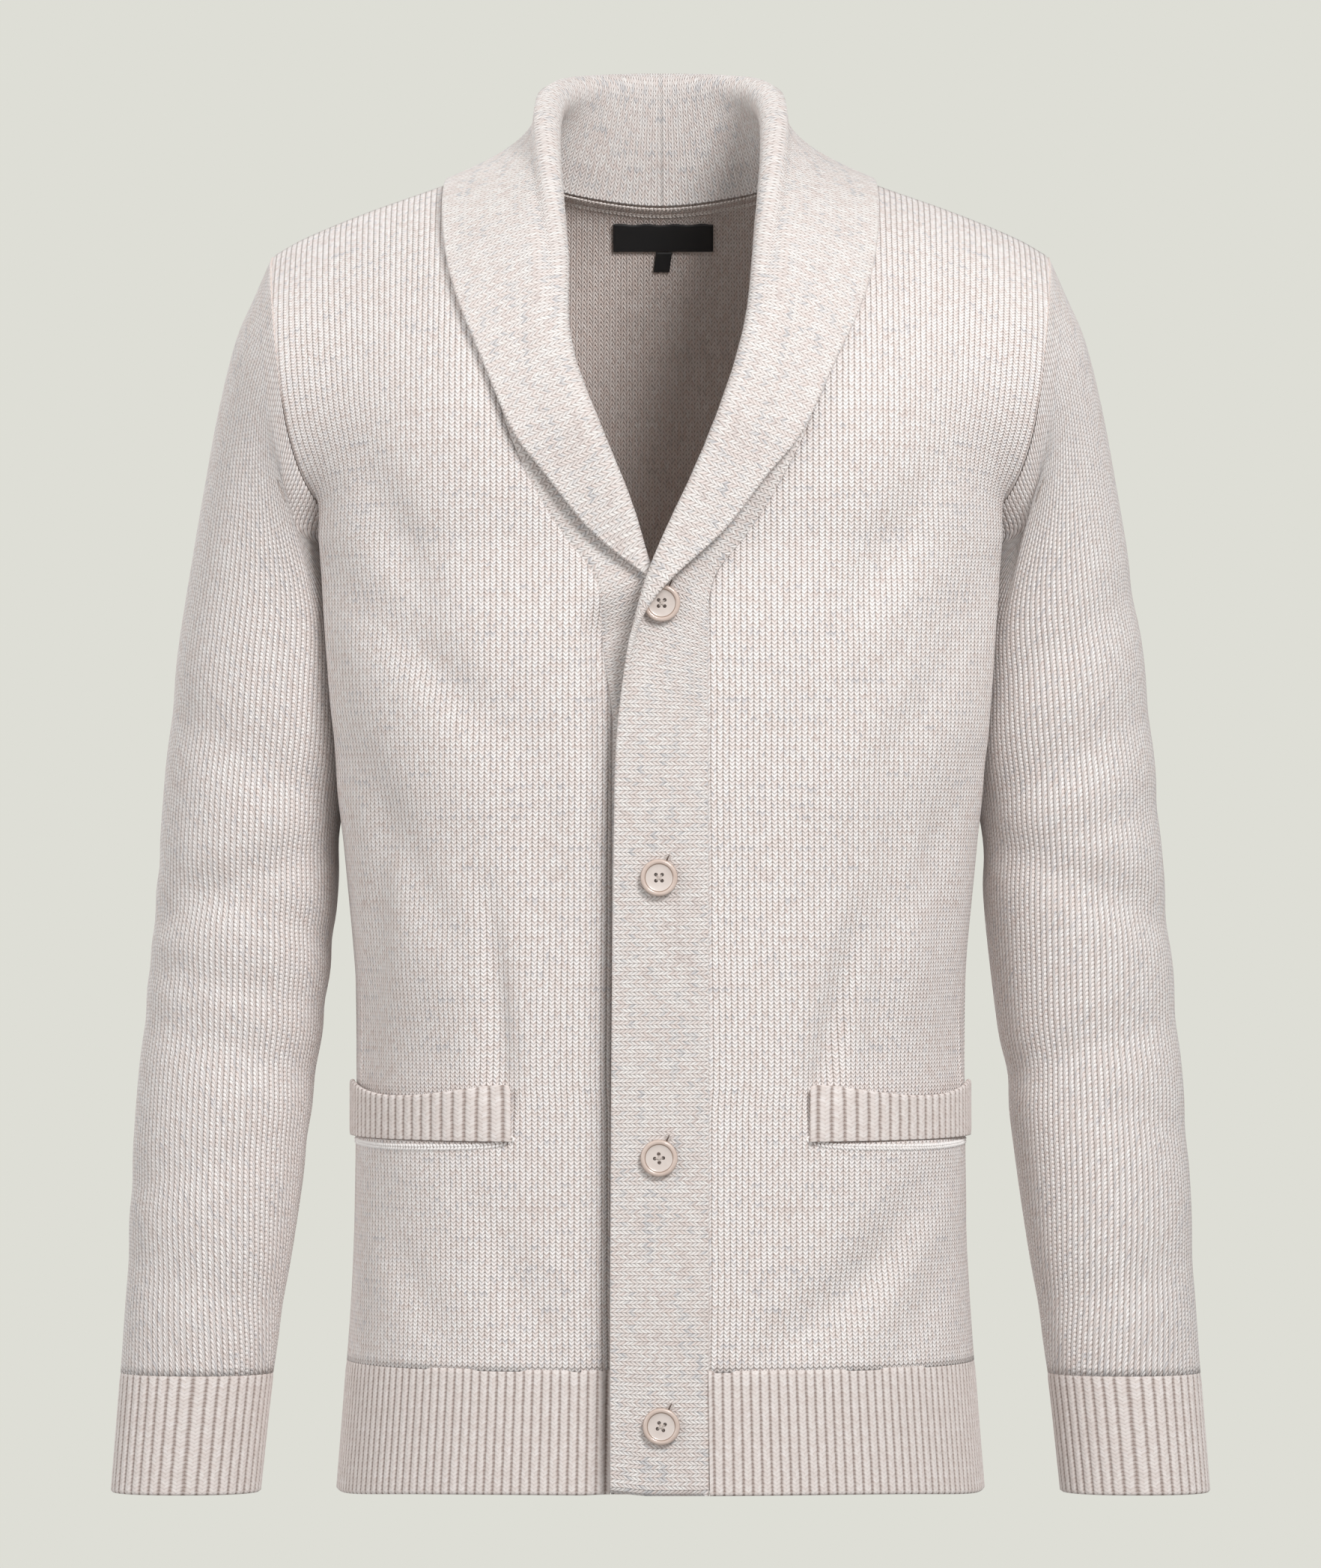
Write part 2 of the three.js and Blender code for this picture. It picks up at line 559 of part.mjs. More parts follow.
// A closed solid from an outer and an inner grid of the same size; cells can be left open
function wallSolid(outer, inner, round, isOpen = () => false) {
  const rows = outer.length;
  const cols = outer[0].length;
  const cellCols = round ? cols : cols - 1;
  const positions = [];
  for (const grid of [outer, inner]) grid.forEach((row) => row.forEach((p) => positions.push(p.x, p.y, p.z)));
  const at = (layer, r, c) => layer * rows * cols + r * cols + (c % cols);
  const present = (r, c) => {
    if (r < 0 || r >= rows - 1) return false;
    if (!round && (c < 0 || c >= cellCols)) return false;
    return !isOpen(r, (c + cellCols) % cellCols);
  };
  const faces = [];
  const quad = (a, b, c, d) => faces.push(a, b, c, a, c, d);
  for (let r = 0; r < rows - 1; r += 1) {
    for (let c = 0; c < cellCols; c += 1) {
      if (!present(r, c)) continue;
      quad(at(0, r, c), at(0, r, c + 1), at(0, r + 1, c + 1), at(0, r + 1, c));
      quad(at(1, r, c), at(1, r + 1, c), at(1, r + 1, c + 1), at(1, r, c + 1));
      if (!present(r - 1, c)) quad(at(0, r, c + 1), at(0, r, c), at(1, r, c), at(1, r, c + 1));
      if (!present(r + 1, c)) quad(at(0, r + 1, c), at(0, r + 1, c + 1), at(1, r + 1, c + 1), at(1, r + 1, c));
      if (!present(r, c - 1)) quad(at(0, r, c), at(0, r + 1, c), at(1, r + 1, c), at(1, r, c));
      if (!present(r, c + 1)) quad(at(0, r + 1, c + 1), at(0, r, c + 1), at(1, r, c + 1), at(1, r + 1, c + 1));
    }
  }
  return solidFrom(positions, faces);
}

// A closed solid from an outer grid with many columns and a plain inner grid with fewer
function ribSolid(outer, inner, round) {
  const positions = [];
  const starts = [0, outer.length * outer[0].length];
  for (const grid of [outer, inner]) grid.forEach((row) => row.forEach((p) => positions.push(p.x, p.y, p.z)));
  const faces = [];
  const skin = (grid, start, flip) => {
    const cols = grid[0].length;
    const last = round ? cols : cols - 1;
    for (let r = 0; r < grid.length - 1; r += 1) {
      for (let c = 0; c < last; c += 1) {
        const a = start + r * cols + c;
        const b = start + r * cols + ((c + 1) % cols);
        const d = a + cols;
        const e = b + cols;
        if (flip) faces.push(a, d, e, a, e, b);
        else faces.push(a, e, d, a, b, e);
      }
    }
  };
  skin(outer, starts[0], false);
  skin(inner, starts[1], true);
  const rim = (outerRow, innerRow, flip) => {
    const many = outer[0].length;
    const few = inner[0].length;
    const stepsOut = round ? many : many - 1;
    const stepsIn = round ? few : few - 1;
    const a = (i) => starts[0] + outerRow * many + (i % many);
    const b = (i) => starts[1] + innerRow * few + (i % few);
    let i = 0;
    let j = 0;
    while (i < stepsOut || j < stepsIn) {
      const outNext = (i + 1) / stepsOut;
      const inNext = (j + 1) / stepsIn;
      const takeOuter = j >= stepsIn || (i < stepsOut && outNext <= inNext + 1e-9);
      const tri = takeOuter ? [a(i), a(i + 1), b(j)] : [a(i), b(j + 1), b(j)];
      if (flip) tri.reverse();
      faces.push(...tri);
      if (takeOuter) i += 1;
      else j += 1;
    }
  };
  rim(0, 0, true);
  rim(outer.length - 1, inner.length - 1, false);
  if (!round) {
    const side = (outCol, inCol, flip) => {
      const many = outer[0].length;
      const few = inner[0].length;
      for (let r = 0; r < outer.length - 1; r += 1) {
        const a = starts[0] + r * many + outCol;
        const b = starts[0] + (r + 1) * many + outCol;
        const c = starts[1] + (r + 1) * few + inCol;
        const d = starts[1] + r * few + inCol;
        if (flip) faces.push(a, c, b, a, d, c);
        else faces.push(a, b, c, a, c, d);
      }
    };
    side(0, 0, false);
    side(outer[0].length - 1, inner[0].length - 1, true);
  }
  return solidFrom(positions, faces);
}

// Indexed geometry with its faces turned outwards
function solidFrom(positions, faces) {
  let volume = 0;
  for (let i = 0; i < faces.length; i += 3) {
    const [a, b, c] = [faces[i], faces[i + 1], faces[i + 2]].map((k) => point(...positions.slice(3 * k, 3 * k + 3)));
    volume += a.dot(b.cross(c)) / 6;
  }
  if (volume < 0) {
    for (let i = 0; i < faces.length; i += 3) [faces[i + 1], faces[i + 2]] = [faces[i + 2], faces[i + 1]];
  }
  const geometry = new THREE.BufferGeometry();
  geometry.setAttribute('position', new THREE.Float32BufferAttribute(positions, 3));
  geometry.setIndex(faces);
  return geometry;
}

function addPiece(name, geometry, colour, roughness = 0.95) {
  const material = new THREE.MeshStandardMaterial({ color: colour, roughness, metalness: 0 });
  const mesh = new THREE.Mesh(geometry, material);
  mesh.name = name;
  group.add(mesh);
  return mesh;
}

// Pocket: the cloth above the slit is sunk, and the cloth below it stands out
const POCKET_FIRST_COLUMN = 2;
const POCKET_LAST_COLUMN = 7;
const SLIT_ROW = BODY_LEVELS.indexOf(WELT_SEAM_Z);

function pocketShare(u) {
  const first = FRONT_STEPS[POCKET_FIRST_COLUMN];
  const last = FRONT_STEPS[POCKET_LAST_COLUMN];
  const s = THREE.MathUtils.clamp((u - first) / (last - first), 0, 1);
  return Math.sin(Math.PI * s) ** 0.6;
}

function pocketInward(z, u) {
  const share = pocketShare(u);
  if (z > WELT_SEAM_Z + 1) return POCKET_RECESS * share * (1 - ease(-496, -425, z));
  return -POCKET_BULGE * share * ease(BAG_BOTTOM_Z - 12, -560, z);
}

// Front and back panels
const leftNormals = gridNormals(leftFront, false, 1);
const rightNormals = gridNormals(rightFront, false, -1);
const backNormals = gridNormals(wholeBack, false, 1);
const sleeveNormals = gridNormals(sleeveGrid, true, -1);
const rightSleeveGrid = sleeveGrid.map((ring) => ring.map(mirror));
const rightSleeveNormals = gridNormals(rightSleeveGrid, true, 1);

shareNormals(leftFront, leftNormals);
shareNormals(rightFront, rightNormals);
shareNormals(wholeBack, backNormals);
shareNormals(sleeveGrid, sleeveNormals);
shareNormals(rightSleeveGrid, rightSleeveNormals);

function makeFront(name, grid, normals) {
  const settled = settledNormals(grid, normals, [0]);
  const pocketed = grid.map((row, r) => row.map((p, c) => {
    const inward = r <= BODY_LEVELS.length ? pocketInward(p.z, FRONT_STEPS[c]) : 0;
    return p.clone().addScaledVector(settled[r][c], -inward);
  }));
  const outer = pullBack(pocketed, false, SEAM_HALF_GAP);
  const inner = pullBack(behind(pocketed, settled, BODY_WALL), false, SEAM_HALF_GAP);
  const slit = (r, c) => r === SLIT_ROW && c >= POCKET_FIRST_COLUMN && c < POCKET_LAST_COLUMN;
  addPiece(name, wallSolid(outer, inner, false, slit), CLOTH);
  return { grid, inner: behind(pocketed, settled, BODY_WALL), normals: settled };
}

const leftFaces = makeFront('front_left', leftFront, leftNormals);
const rightFaces = makeFront('front_right', rightFront, rightNormals);
const backSettled = settledNormals(wholeBack, backNormals, [0]);
addPiece('back', wallSolid(
  pullBack(wholeBack, false, SEAM_HALF_GAP),
  pullBack(behind(wholeBack, backSettled, BODY_WALL), false, SEAM_HALF_GAP),
  false,
), CLOTH);

function makeSleeve(name, grid, normals) {
  const settled = settledNormals(grid, normals, [grid.length - 1]);
  const faces = [grid, behind(grid, settled, BODY_WALL)].map((face) => pullBack(face, true, SEAM_HALF_GAP));
  for (const face of faces) face[0].forEach((p, k) => p.add(face[1][k].clone().sub(p).setLength(SEAM_HALF_GAP)));
  addPiece(name, wallSolid(faces[0], faces[1], true), CLOTH);
}
makeSleeve('sleeve_left', sleeveGrid, sleeveNormals);
makeSleeve('sleeve_right', rightSleeveGrid, rightSleeveNormals);

// Ribs: two columns a rib, every other one standing out
function ribRelief(k) {
  return k % 2 === 0 ? RIB_RELIEF / 2 : -RIB_RELIEF / 2;
}

const hemDrop = (p) => mix(HEM_FRONT_Z, HEM_SIDE_Z, ease(-118, -20, p.y));

// A level band of ribs between two heights, along the body's section from one turn to another
function hemRib(name, firstTurn, lastTurn, place, ribs) {
  const outerCount = 2 * ribs + 1;
  const innerCount = Math.round(ribs / 2.6) + 1;
  const lengthTable = arcShares(firstTurn, lastTurn);
  const column = (z, share) => {
    const turn = mix(firstTurn(z), lastTurn(z), lengthTable(share));
    return bodyPoint(z, turn);
  };
  const outward = (z, share) => {
    const step = 0.002;
    const a = column(z, Math.max(share - step, 0));
    const b = column(z, Math.min(share + step, 1));
    const along = b.sub(a);
    return point(-along.y, along.x, 0).normalize();
  };
  const facing = outward(HEM_MIDDLE_Z, 0.5).dot(point(column(HEM_MIDDLE_Z, 0.5).x, column(HEM_MIDDLE_Z, 0.5).y, 0)) > 0 ? 1 : -1;
  const rows = [RIB_TOP_Z - SEAM_HALF_GAP, HEM_FRONT_Z];
  const makeRow = (count, depthOf, rowIndex) => Array.from({ length: count }, (_, k) => {
    const share = k / (count - 1);
    const z = rows[rowIndex];
    const p = column(z, share);
    const n = outward(z, share).multiplyScalar(facing);
    p.addScaledVector(n, -depthOf(k));
    if (rowIndex === 1) p.z = hemDrop(p);
    return place(p);
  });
  const outer = rows.map((_, i) => makeRow(outerCount, (k) => -ribRelief(k), i));
  const inner = rows.map((_, i) => makeRow(innerCount, () => RIB_WALL, i));
  addPiece(name, ribSolid(endsPulledBack(outer), endsPulledBack(inner), false), RIB_CLOTH);
}

// A grid with both ends of its rows pulled back from the seams
function endsPulledBack(grid) {
  return grid.map((row) => {
    const last = row.length - 1;
    const first = row[0].clone().add(row[1].clone().sub(row[0]).setLength(SEAM_HALF_GAP));
    const end = row[last].clone().add(row[last - 1].clone().sub(row[last]).setLength(SEAM_HALF_GAP));
    return [first, ...row.slice(1, last), end];
  });
}

// Shares of the turn that give even steps along the section
function arcShares(firstTurn, lastTurn) {
  const z = HEM_MIDDLE_Z;
  const samples = 240;
  const lengths = [0];
  let before = bodyPoint(z, firstTurn(z));
  for (let i = 1; i <= samples; i += 1) {
    const here = bodyPoint(z, mix(firstTurn(z), lastTurn(z), i / samples));
    lengths.push(lengths[i - 1] + here.distanceTo(before));
    before = here;
  }
  return (share) => {
    const goal = share * lengths[samples];
    let i = 0;
    while (i < samples - 1 && lengths[i + 1] < goal) i += 1;
    return (i + (goal - lengths[i]) / (lengths[i + 1] - lengths[i])) / samples;
  };
}

const seamTurn = (z) => turnAtWidth(z, track(seamUp, 'z', 'x', z));
const sideTurn = () => 90;
const FRONT_RIBS = 43;
const HALF_BACK_RIBS = 46;
hemRib('hem_rib_left', seamTurn, sideTurn, (p) => p, FRONT_RIBS);
hemRib('hem_rib_right', seamTurn, sideTurn, underlap, FRONT_RIBS);

// The back's ribs run on from one side seam to the other
function backHemRib() {
  const halfShares = arcShares(() => 180, sideTurn);
  const column = (z, share) => {
    const turn = mix(180, 90, halfShares(Math.abs(share)));
    const p = bodyPoint(z, turn);
    return share < 0 ? mirror(p) : p;
  };
  const outward = (z, share) => {
    const a = column(z, Math.max(share - 0.002, -1));
    const b = column(z, Math.min(share + 0.002, 1));
    return point(b.y - a.y, a.x - b.x, 0).normalize().multiplyScalar(-1);
  };
  const makeRow = (count, depthOf, z, low) => Array.from({ length: count }, (_, k) => {
    const share = mix(-1, 1, k / (count - 1));
    const p = column(z, share).addScaledVector(outward(z, share), -depthOf(k));
    if (low) p.z = hemDrop(p);
    return p;
  });
  const heights = [RIB_TOP_Z - SEAM_HALF_GAP, HEM_FRONT_Z];
  const outer = heights.map((z, i) => makeRow(4 * HALF_BACK_RIBS + 1, (k) => -ribRelief(k), z, i === 1));
  const inner = heights.map((z, i) => makeRow(37, () => RIB_WALL, z, i === 1));
  addPiece('hem_rib_back', ribSolid(endsPulledBack(outer), endsPulledBack(inner), false), RIB_CLOTH);
}
backHemRib();

// Cuffs: a round band of ribs, drawn in a little below the sleeve
const CUFF_RIBS = 42;
function cuff(name, place) {
  const heights = [CUFF_TOP_Z - SEAM_HALF_GAP * 2, (CUFF_TOP_Z + CUFF_BOTTOM_Z) / 2, CUFF_BOTTOM_Z];
  const ring = (z, columns, depthOf) => {
    const row = levelRing(z, columns);
    const middle = row.reduce((sum, p) => sum.add(p.clone()), point(0, 0, 0)).divideScalar(columns);
    return row.map((p, k) => {
      const away = point(p.x - middle.x, p.y - middle.y, 0).normalize();
      return place(p.clone().addScaledVector(away, -depthOf(k)));
    });
  };
  const outer = heights.map((z) => ring(z, 2 * CUFF_RIBS, (k) => -ribRelief(k)));
  const inner = [heights[0], heights[2]].map((z) => ring(z, 24, () => RIB_WALL));
  addPiece(name, ribSolid(outer, inner, true), RIB_CLOTH);
}
cuff('cuff_left', (p) => p);
cuff('cuff_right', mirror);

// Collar and band: a strip from the seam, curled at the fold line and laid back to its free edge
const seamPoint = (place) => {
  if (place <= 0) return chestPoint(track(seamUp, 'z', 'x', place), place);
  const t = place / 100;
  return point(track(backNeck, 'along', 'x', t), track(backNeck, 'along', 'y', t), track(backNeck, 'along', 'z', t));
};

// The left front's own surface, followed by height and width
const FINE_STEPS = Array.from({ length: 31 }, (_, k) => k / 30);
const FINE_SHARES = Array.from({ length: 41 }, (_, j) => (1 - Math.cos((Math.PI * j) / 40)) / 2);
const chestGrid = [
  ...[HEM_SIDE_Z - 4, HEM_MIDDLE_Z, ...BODY_LEVELS].map((z) => frontBodyRow(z, FINE_STEPS)),
  ...FINE_SHARES.map((v) => (v === 0 ? frontBodyRow(ARMPIT_Z, FINE_STEPS) : frontYokeRow(v, FINE_STEPS))),
];

// Depth of a grid's surface at a width and height
function depthOn(grid, x, z) {
  let best = null;
  for (let r = 0; r < grid.length - 1; r += 1) {
    for (let c = 0; c < grid[r].length - 1; c += 1) {
      const [a, b, d, e] = [grid[r][c], grid[r][c + 1], grid[r + 1][c], grid[r + 1][c + 1]];
      for (const [p, q, s] of [[a, b, e], [a, e, d]]) {
        const area = (q.x - p.x) * (s.z - p.z) - (s.x - p.x) * (q.z - p.z);
        if (Math.abs(area) < 1e-9) continue;
        const wq = ((x - p.x) * (s.z - p.z) - (s.x - p.x) * (z - p.z)) / area;
        const ws = ((q.x - p.x) * (z - p.z) - (x - p.x) * (q.z - p.z)) / area;
        const off = Math.max(0, wq + ws - 1, -wq, -ws);
        if (best === null || off < best.off - 1e-9) best = { off, y: p.y * (1 - wq - ws) + q.y * wq + s.y * ws };
        if (best.off === 0) return best.y;
      }
    }
  }
  return best.y;
}
const chestPoint = (x, z) => point(x, depthOn(chestGrid, x, z), z);

// The garment's face as close-set places with normals, which the collar's fall rests on
const backGrid = [
  ...BODY_LEVELS.slice(-2).map((z) => backBodyRow(z)),
  ...FINE_SHARES.map((v) => (v === 0 ? backBodyRow(ARMPIT_Z) : backYokeRow(v))),
];
const facePlaces = [[chestGrid, 1], [backGrid, -1]].flatMap(([grid, facing]) => {
  const normals = gridNormals(grid, false, facing);
  return grid.flatMap((row, r) => row.map((p, c) => ({ p, n: normals[r][c] })));
});

// Lifts a point until it lies at least a given height over the garment's face
function liftedOff(p, height) {
  let best = facePlaces[0];
  let least = Infinity;
  for (const place of facePlaces) {
    const far = place.p.distanceToSquared(p);
    if (far < least) [best, least] = [place, far];
  }
  const over = p.clone().sub(best.p).dot(best.n);
  const wanted = height + FALL_SOFTNESS * Math.log(1 + Math.exp((over - height) / FALL_SOFTNESS));
  return p.clone().addScaledVector(best.n, wanted - over);
}

const chestDepth = (x, z) => {
  const inside = Math.max(x, track(seamUp, 'z', 'x', z) + 0.5);
  return depthOn(chestGrid, inside, Math.max(z, HEM_SIDE_Z));
};

// Rows of the strip at every place: the lapel is given off the chest, the collar in true places
const stripTable = (lapel) => [
  ...stripPlaces.filter((place) => place < collarRows[0].place).map((place) => {
    const row = { place, turn: 0, sag: 0 };
    for (const name of ['foldX', 'foldZ', 'edgeX', 'edgeZ', 'roll']) row[name] = track(lapel, 'place', name, place);
    row.foldY = chestDepth(row.foldX, row.foldZ) - track(lapel, 'place', 'foldOut', place);
    row.edgeY = chestDepth(row.edgeX, row.edgeZ) - track(lapel, 'place', 'edgeOut', place);
    return row;
  }),
  ...collarRows,
];
const COLUMNS_ACROSS = 11;
const REACH_COLUMNS = 3;
const ROLL_COLUMNS = 4;
const FALL_HEIGHT = 1.6;
const FALL_SOFTNESS = 0.8;
const SAG_SKEW = 0.6;

// How far along a row each column lies: even on the flat band, gathered on the roll of the collar
function alongRow(k, columns, reach, arc, straight) {
  const total = reach + arc + straight;
  const scale = (columns - 1) / (COLUMNS_ACROSS - 1);
  const onRoll = REACH_COLUMNS * scale;
  const onFall = (REACH_COLUMNS + ROLL_COLUMNS) * scale;
  if (k <= onRoll) return (reach * k) / onRoll;
  if (k <= onFall) return reach + (arc * (k - onRoll)) / (onFall - onRoll);
  return total - (straight * (columns - 1 - k)) / (columns - 1 - onFall);
}

function stripRow(table, curlFrom, place, columns) {
  const get = (name) => track(table, 'place', name, place);
  const seam = seamPoint(place);
  const turn = THREE.MathUtils.degToRad(get('turn'));
  const out = point(Math.sin(turn), -Math.cos(turn), 0);
  const roll = get('roll');
  const foldFace = point(get('foldX'), get('foldY'), get('foldZ'));
  const edgeFace = point(get('edgeX'), get('edgeY'), get('edgeZ'));
  const ahead = foldFace.clone().sub(seam).normalize();
  out.addScaledVector(ahead, -out.dot(ahead)).normalize();
  const flat = ease(curlFrom, curlFrom + 32, place);
  const fold = foldFace.clone().addScaledVector(ahead, -STRIP_WALL * flat);
  const edge = edgeFace.clone().addScaledVector(out, -STRIP_WALL * flat);
  const reach = fold.clone().sub(seam).length() - roll;
  const centre = seam.clone().addScaledVector(ahead, reach).addScaledVector(out, roll);
  const toEdge = edge.clone().sub(centre);
  const ex = toEdge.dot(ahead);
  const ey = toEdge.dot(out);
  const straight = Math.sqrt(Math.max(ex * ex + ey * ey - roll * roll, 0.01));
  let curl = Math.atan2(ey, ex) + Math.atan2(roll, straight);
  if (curl < -0.5) curl += 2 * Math.PI;
  curl = Math.max(curl, 0);
  const aside = ahead.clone().cross(out);
  const drift = toEdge.dot(aside);
  const arc = curl * roll;
  const gathered = THREE.MathUtils.clamp(curl / 1.2, 0, 1);
  const row = [];
  for (let k = 0; k < columns; k += 1) {
    const even = ((reach + arc + straight) * k) / (columns - 1);
    const s = mix(even, alongRow(k, columns, reach, arc, straight), gathered);
    const p = seam.clone();
    if (s <= reach) {
      p.addScaledVector(ahead, s);
    } else if (s <= reach + arc) {
      const a = (s - reach) / roll;
      p.copy(centre).addScaledVector(ahead, roll * Math.sin(a)).addScaledVector(out, -roll * Math.cos(a));
    } else {
      const rest = s - reach - arc;
      p.copy(centre).addScaledVector(ahead, roll * Math.sin(curl)).addScaledVector(out, -roll * Math.cos(curl));
      p.addScaledVector(ahead, rest * Math.cos(curl)).addScaledVector(out, rest * Math.sin(curl));
      p.addScaledVector(aside, (drift * rest) / straight);
      const dropped = get('sag') * Math.sin(Math.PI * THREE.MathUtils.clamp(rest / straight, 0, 1) ** SAG_SKEW);
      p.addScaledVector(ahead, -dropped * Math.sin(curl)).addScaledVector(out, dropped * Math.cos(curl));
      if (flat > 0) p.lerp(liftedOff(p, FALL_HEIGHT), flat * THREE.MathUtils.clamp(rest / 8, 0, 1));
    }
    row.push(p);
  }
  return row;
}

const stripPlaces = [
  STRIP_FOOT_Z, ...BODY_LEVELS.filter((z) => ![-526, -498].includes(z)),
  ...yokeShares.map((v) => ARMPIT_Z * (1 - v)),
  ...Array.from({ length: NECK_COLUMNS }, (_, k) => (100 * (k + 1)) / NECK_COLUMNS),
];
const leftTable = stripTable(leftLapel);
const rightTable = stripTable(rightLapel);
const leftStrip = stripPlaces.map((place) => stripRow(leftTable, -300, place, COLUMNS_ACROSS));
const rightStrip = stripPlaces.map((place) => stripRow(rightTable, -270, place, COLUMNS_ACROSS).map(underlap));

// The strip's seam edge shares its direction with the panel that it is joined to
function nearestNormal(p, places) {
  return places.reduce((best, place) => (place.p.distanceToSquared(p) < best.p.distanceToSquared(p) ? place : best)).n;
}

function makeStrip(name, grid, panel, side) {
  const normals = gridNormals(grid, false, -side);
  const neckEdge = backSettled.length - 1;
  const border = [
    ...panel.grid.map((row, r) => ({ p: row[0], n: panel.normals[r][0] })),
    ...wholeBack[neckEdge].map((p, c) => ({ p, n: backSettled[neckEdge][c] })),
  ];
  normals.forEach((row, r) => row[0].copy(nearestNormal(grid[r][0], border)));
  const faces = [grid, behind(grid, normals, STRIP_WALL)];
  const [outer, inner] = faces.map((face) => pullBack(face, false, SEAM_HALF_GAP));
  for (const face of [outer, inner]) {
    for (const p of face[face.length - 1]) p.x = side * SEAM_HALF_GAP;
  }
  addPiece(name, wallSolid(outer, inner, false), STRIP_CLOTH);
}
makeStrip('collar_band_left', leftStrip, leftFaces, 1);
makeStrip('collar_band_right', rightStrip, rightFaces, -1);

// A place on the plain left front, with its normal, by height and step
function frontPlace(z, u) {
  const seamTurnHere = turnAtWidth(z, track(seamUp, 'z', 'x', z));
  const at = (level, share) => folded(bodyPoint(level, mix(seamTurnHere, 90, turnShare(share))));
  const p = at(z, u);
  const across = at(z, Math.min(u + 0.01, 1)).sub(at(z, Math.max(u - 0.01, 0)));
  const along = at(z + 1, u).sub(at(z - 1, u));
  return { p, n: across.cross(along).normalize() };
}

// Pocket welt: a band of ribs that lies on the front, over the slit
const WELT_RIBS = 22;
const WELT_FIRST = 0.195;
const WELT_LAST = 0.95;
const WELT_DIP = 7;
function welt(name, place) {
  const weltRow = (top, count, depthOf) => Array.from({ length: count }, (_, k) => {
    const s = k / (count - 1);
    const z = top ? WELT_TOP_Z - WELT_DIP * Math.sin(Math.PI * s) ** 1.3 : WELT_SEAM_Z + 2 * SEAM_HALF_GAP;
    const { p, n } = frontPlace(z, mix(WELT_FIRST, WELT_LAST, s));
    return place(p.addScaledVector(n, depthOf(k)));
  });
  const near = 2 * LYING_GAP;
  const outer = [false, true].map((top) => weltRow(top, 2 * WELT_RIBS + 1, (k) => near + RIB_WALL + ribRelief(k)));
  const inner = [false, true].map((top) => weltRow(top, 12, () => near));
  addPiece(name, ribSolid(outer, inner, false), RIB_CLOTH);
}
welt('pocket_welt_left', (p) => p);
welt('pocket_welt_right', underlap);

// Pocket bag: a slack sheet behind the lower front, hung from the upper edge of the slit
const BAG_WALL = 2;
const BAG_GAP = 0.5;
const BAG_TOP_LIFT = 0.6;
const bagRows = [
  { from: -526, toward: -532, share: 0, slack: 0 },
  { from: -532, toward: -572, share: 0, slack: 8.3 },
  { from: -532, toward: -572, share: 0.5, slack: 9.5 },
  { from: -572, toward: -612, share: 0, slack: 10 },
  { from: -612, toward: -655, share: 0, slack: 8 },
  { from: -612, toward: -655, share: 0.65, slack: 0 },
];
function bag(name, inner, normals) {
  const columns = [];
  for (let c = POCKET_FIRST_COLUMN; c <= POCKET_LAST_COLUMN; c += 1) columns.push({ c, next: c, share: 0 });
  columns.unshift({ c: POCKET_FIRST_COLUMN, next: POCKET_FIRST_COLUMN - 1, share: 0.12 });
  columns.push({ c: POCKET_LAST_COLUMN, next: POCKET_LAST_COLUMN + 1, share: 0.2 });
  const pick = (grid, row, col) => {
    const a = BODY_LEVELS.indexOf(row.from);
    const b = BODY_LEVELS.indexOf(row.toward);
    const along = (r) => grid[r][col.c].clone().lerp(grid[r][col.next], col.share);
    return along(a).lerp(along(b), row.share);
  };
  const sheet = (wall) => bagRows.map((row) => columns.map((col) => {
    const slack = col.share > 0 ? 0 : row.slack * pocketShare(FRONT_STEPS[col.c]);
    const p = pick(inner, row, col);
    if (row === bagRows[0]) p.z += BAG_TOP_LIFT;
    return p.addScaledVector(pick(normals, row, col), -(BAG_GAP + slack + wall));
  }));
  addPiece(name, wallSolid(sheet(0), sheet(BAG_WALL), false), CLOTH);
}
bag('pocket_bag_left', leftFaces.inner, leftFaces.normals);
bag('pocket_bag_right', rightFaces.inner, rightFaces.normals);

// Back neck: a seam tape, a bare label and a bare size tab on the inner face
function insideBack(x, z, depth) {
  const y = (a, b) => depthOn(halfBack, Math.abs(a), b);
  const slopeX = (y(x + 0.5, z) - y(x - 0.5, z));
  const slopeZ = (y(x, z) - y(x, z - 1));
  const n = point(-slopeX, 1, -slopeZ).normalize();
  return point(x, y(x, z), z).addScaledVector(n, -depth);
}
function lying(name, corners, columns, rows, wall, colour) {
  const grid = (depth) => Array.from({ length: rows + 1 }, (_, r) => Array.from({ length: columns + 1 }, (_, c) => {
    const { x, z } = corners(c / columns, r / rows);
    return insideBack(x, z, depth);
  }));
  const near = BODY_WALL + 2 * LYING_GAP;
  addPiece(name, wallSolid(grid(near), grid(near + wall), false), colour, 0.8);
}
lying('neck_label', (s, t) => ({ x: mix(-26.5, 29.5, s), z: mix(-42.5, -27.5, t) }), 6, 2, 0.8, LABEL_BLACK);
lying('size_tab', (s, t) => ({ x: mix(-2.5, 6.5, s) - 1.5 * (1 - t), z: mix(-54, -43, t) }), 1, 2, 0.6, LABEL_BLACK);
const TAPE_HEIGHT = 3.5;
lying('neck_tape', (s, t) => {
  const side = Math.abs(2 * s - 1) * 0.6;
  const x = Math.sign(2 * s - 1) * track(backNeck, 'along', 'x', 1 - side);
  const z = track(backNeck, 'along', 'z', 1 - side) - 3.4 - TAPE_HEIGHT * (1 - t);
  return { x, z };
}, 16, 1, 0.9, STRIP_CLOTH);

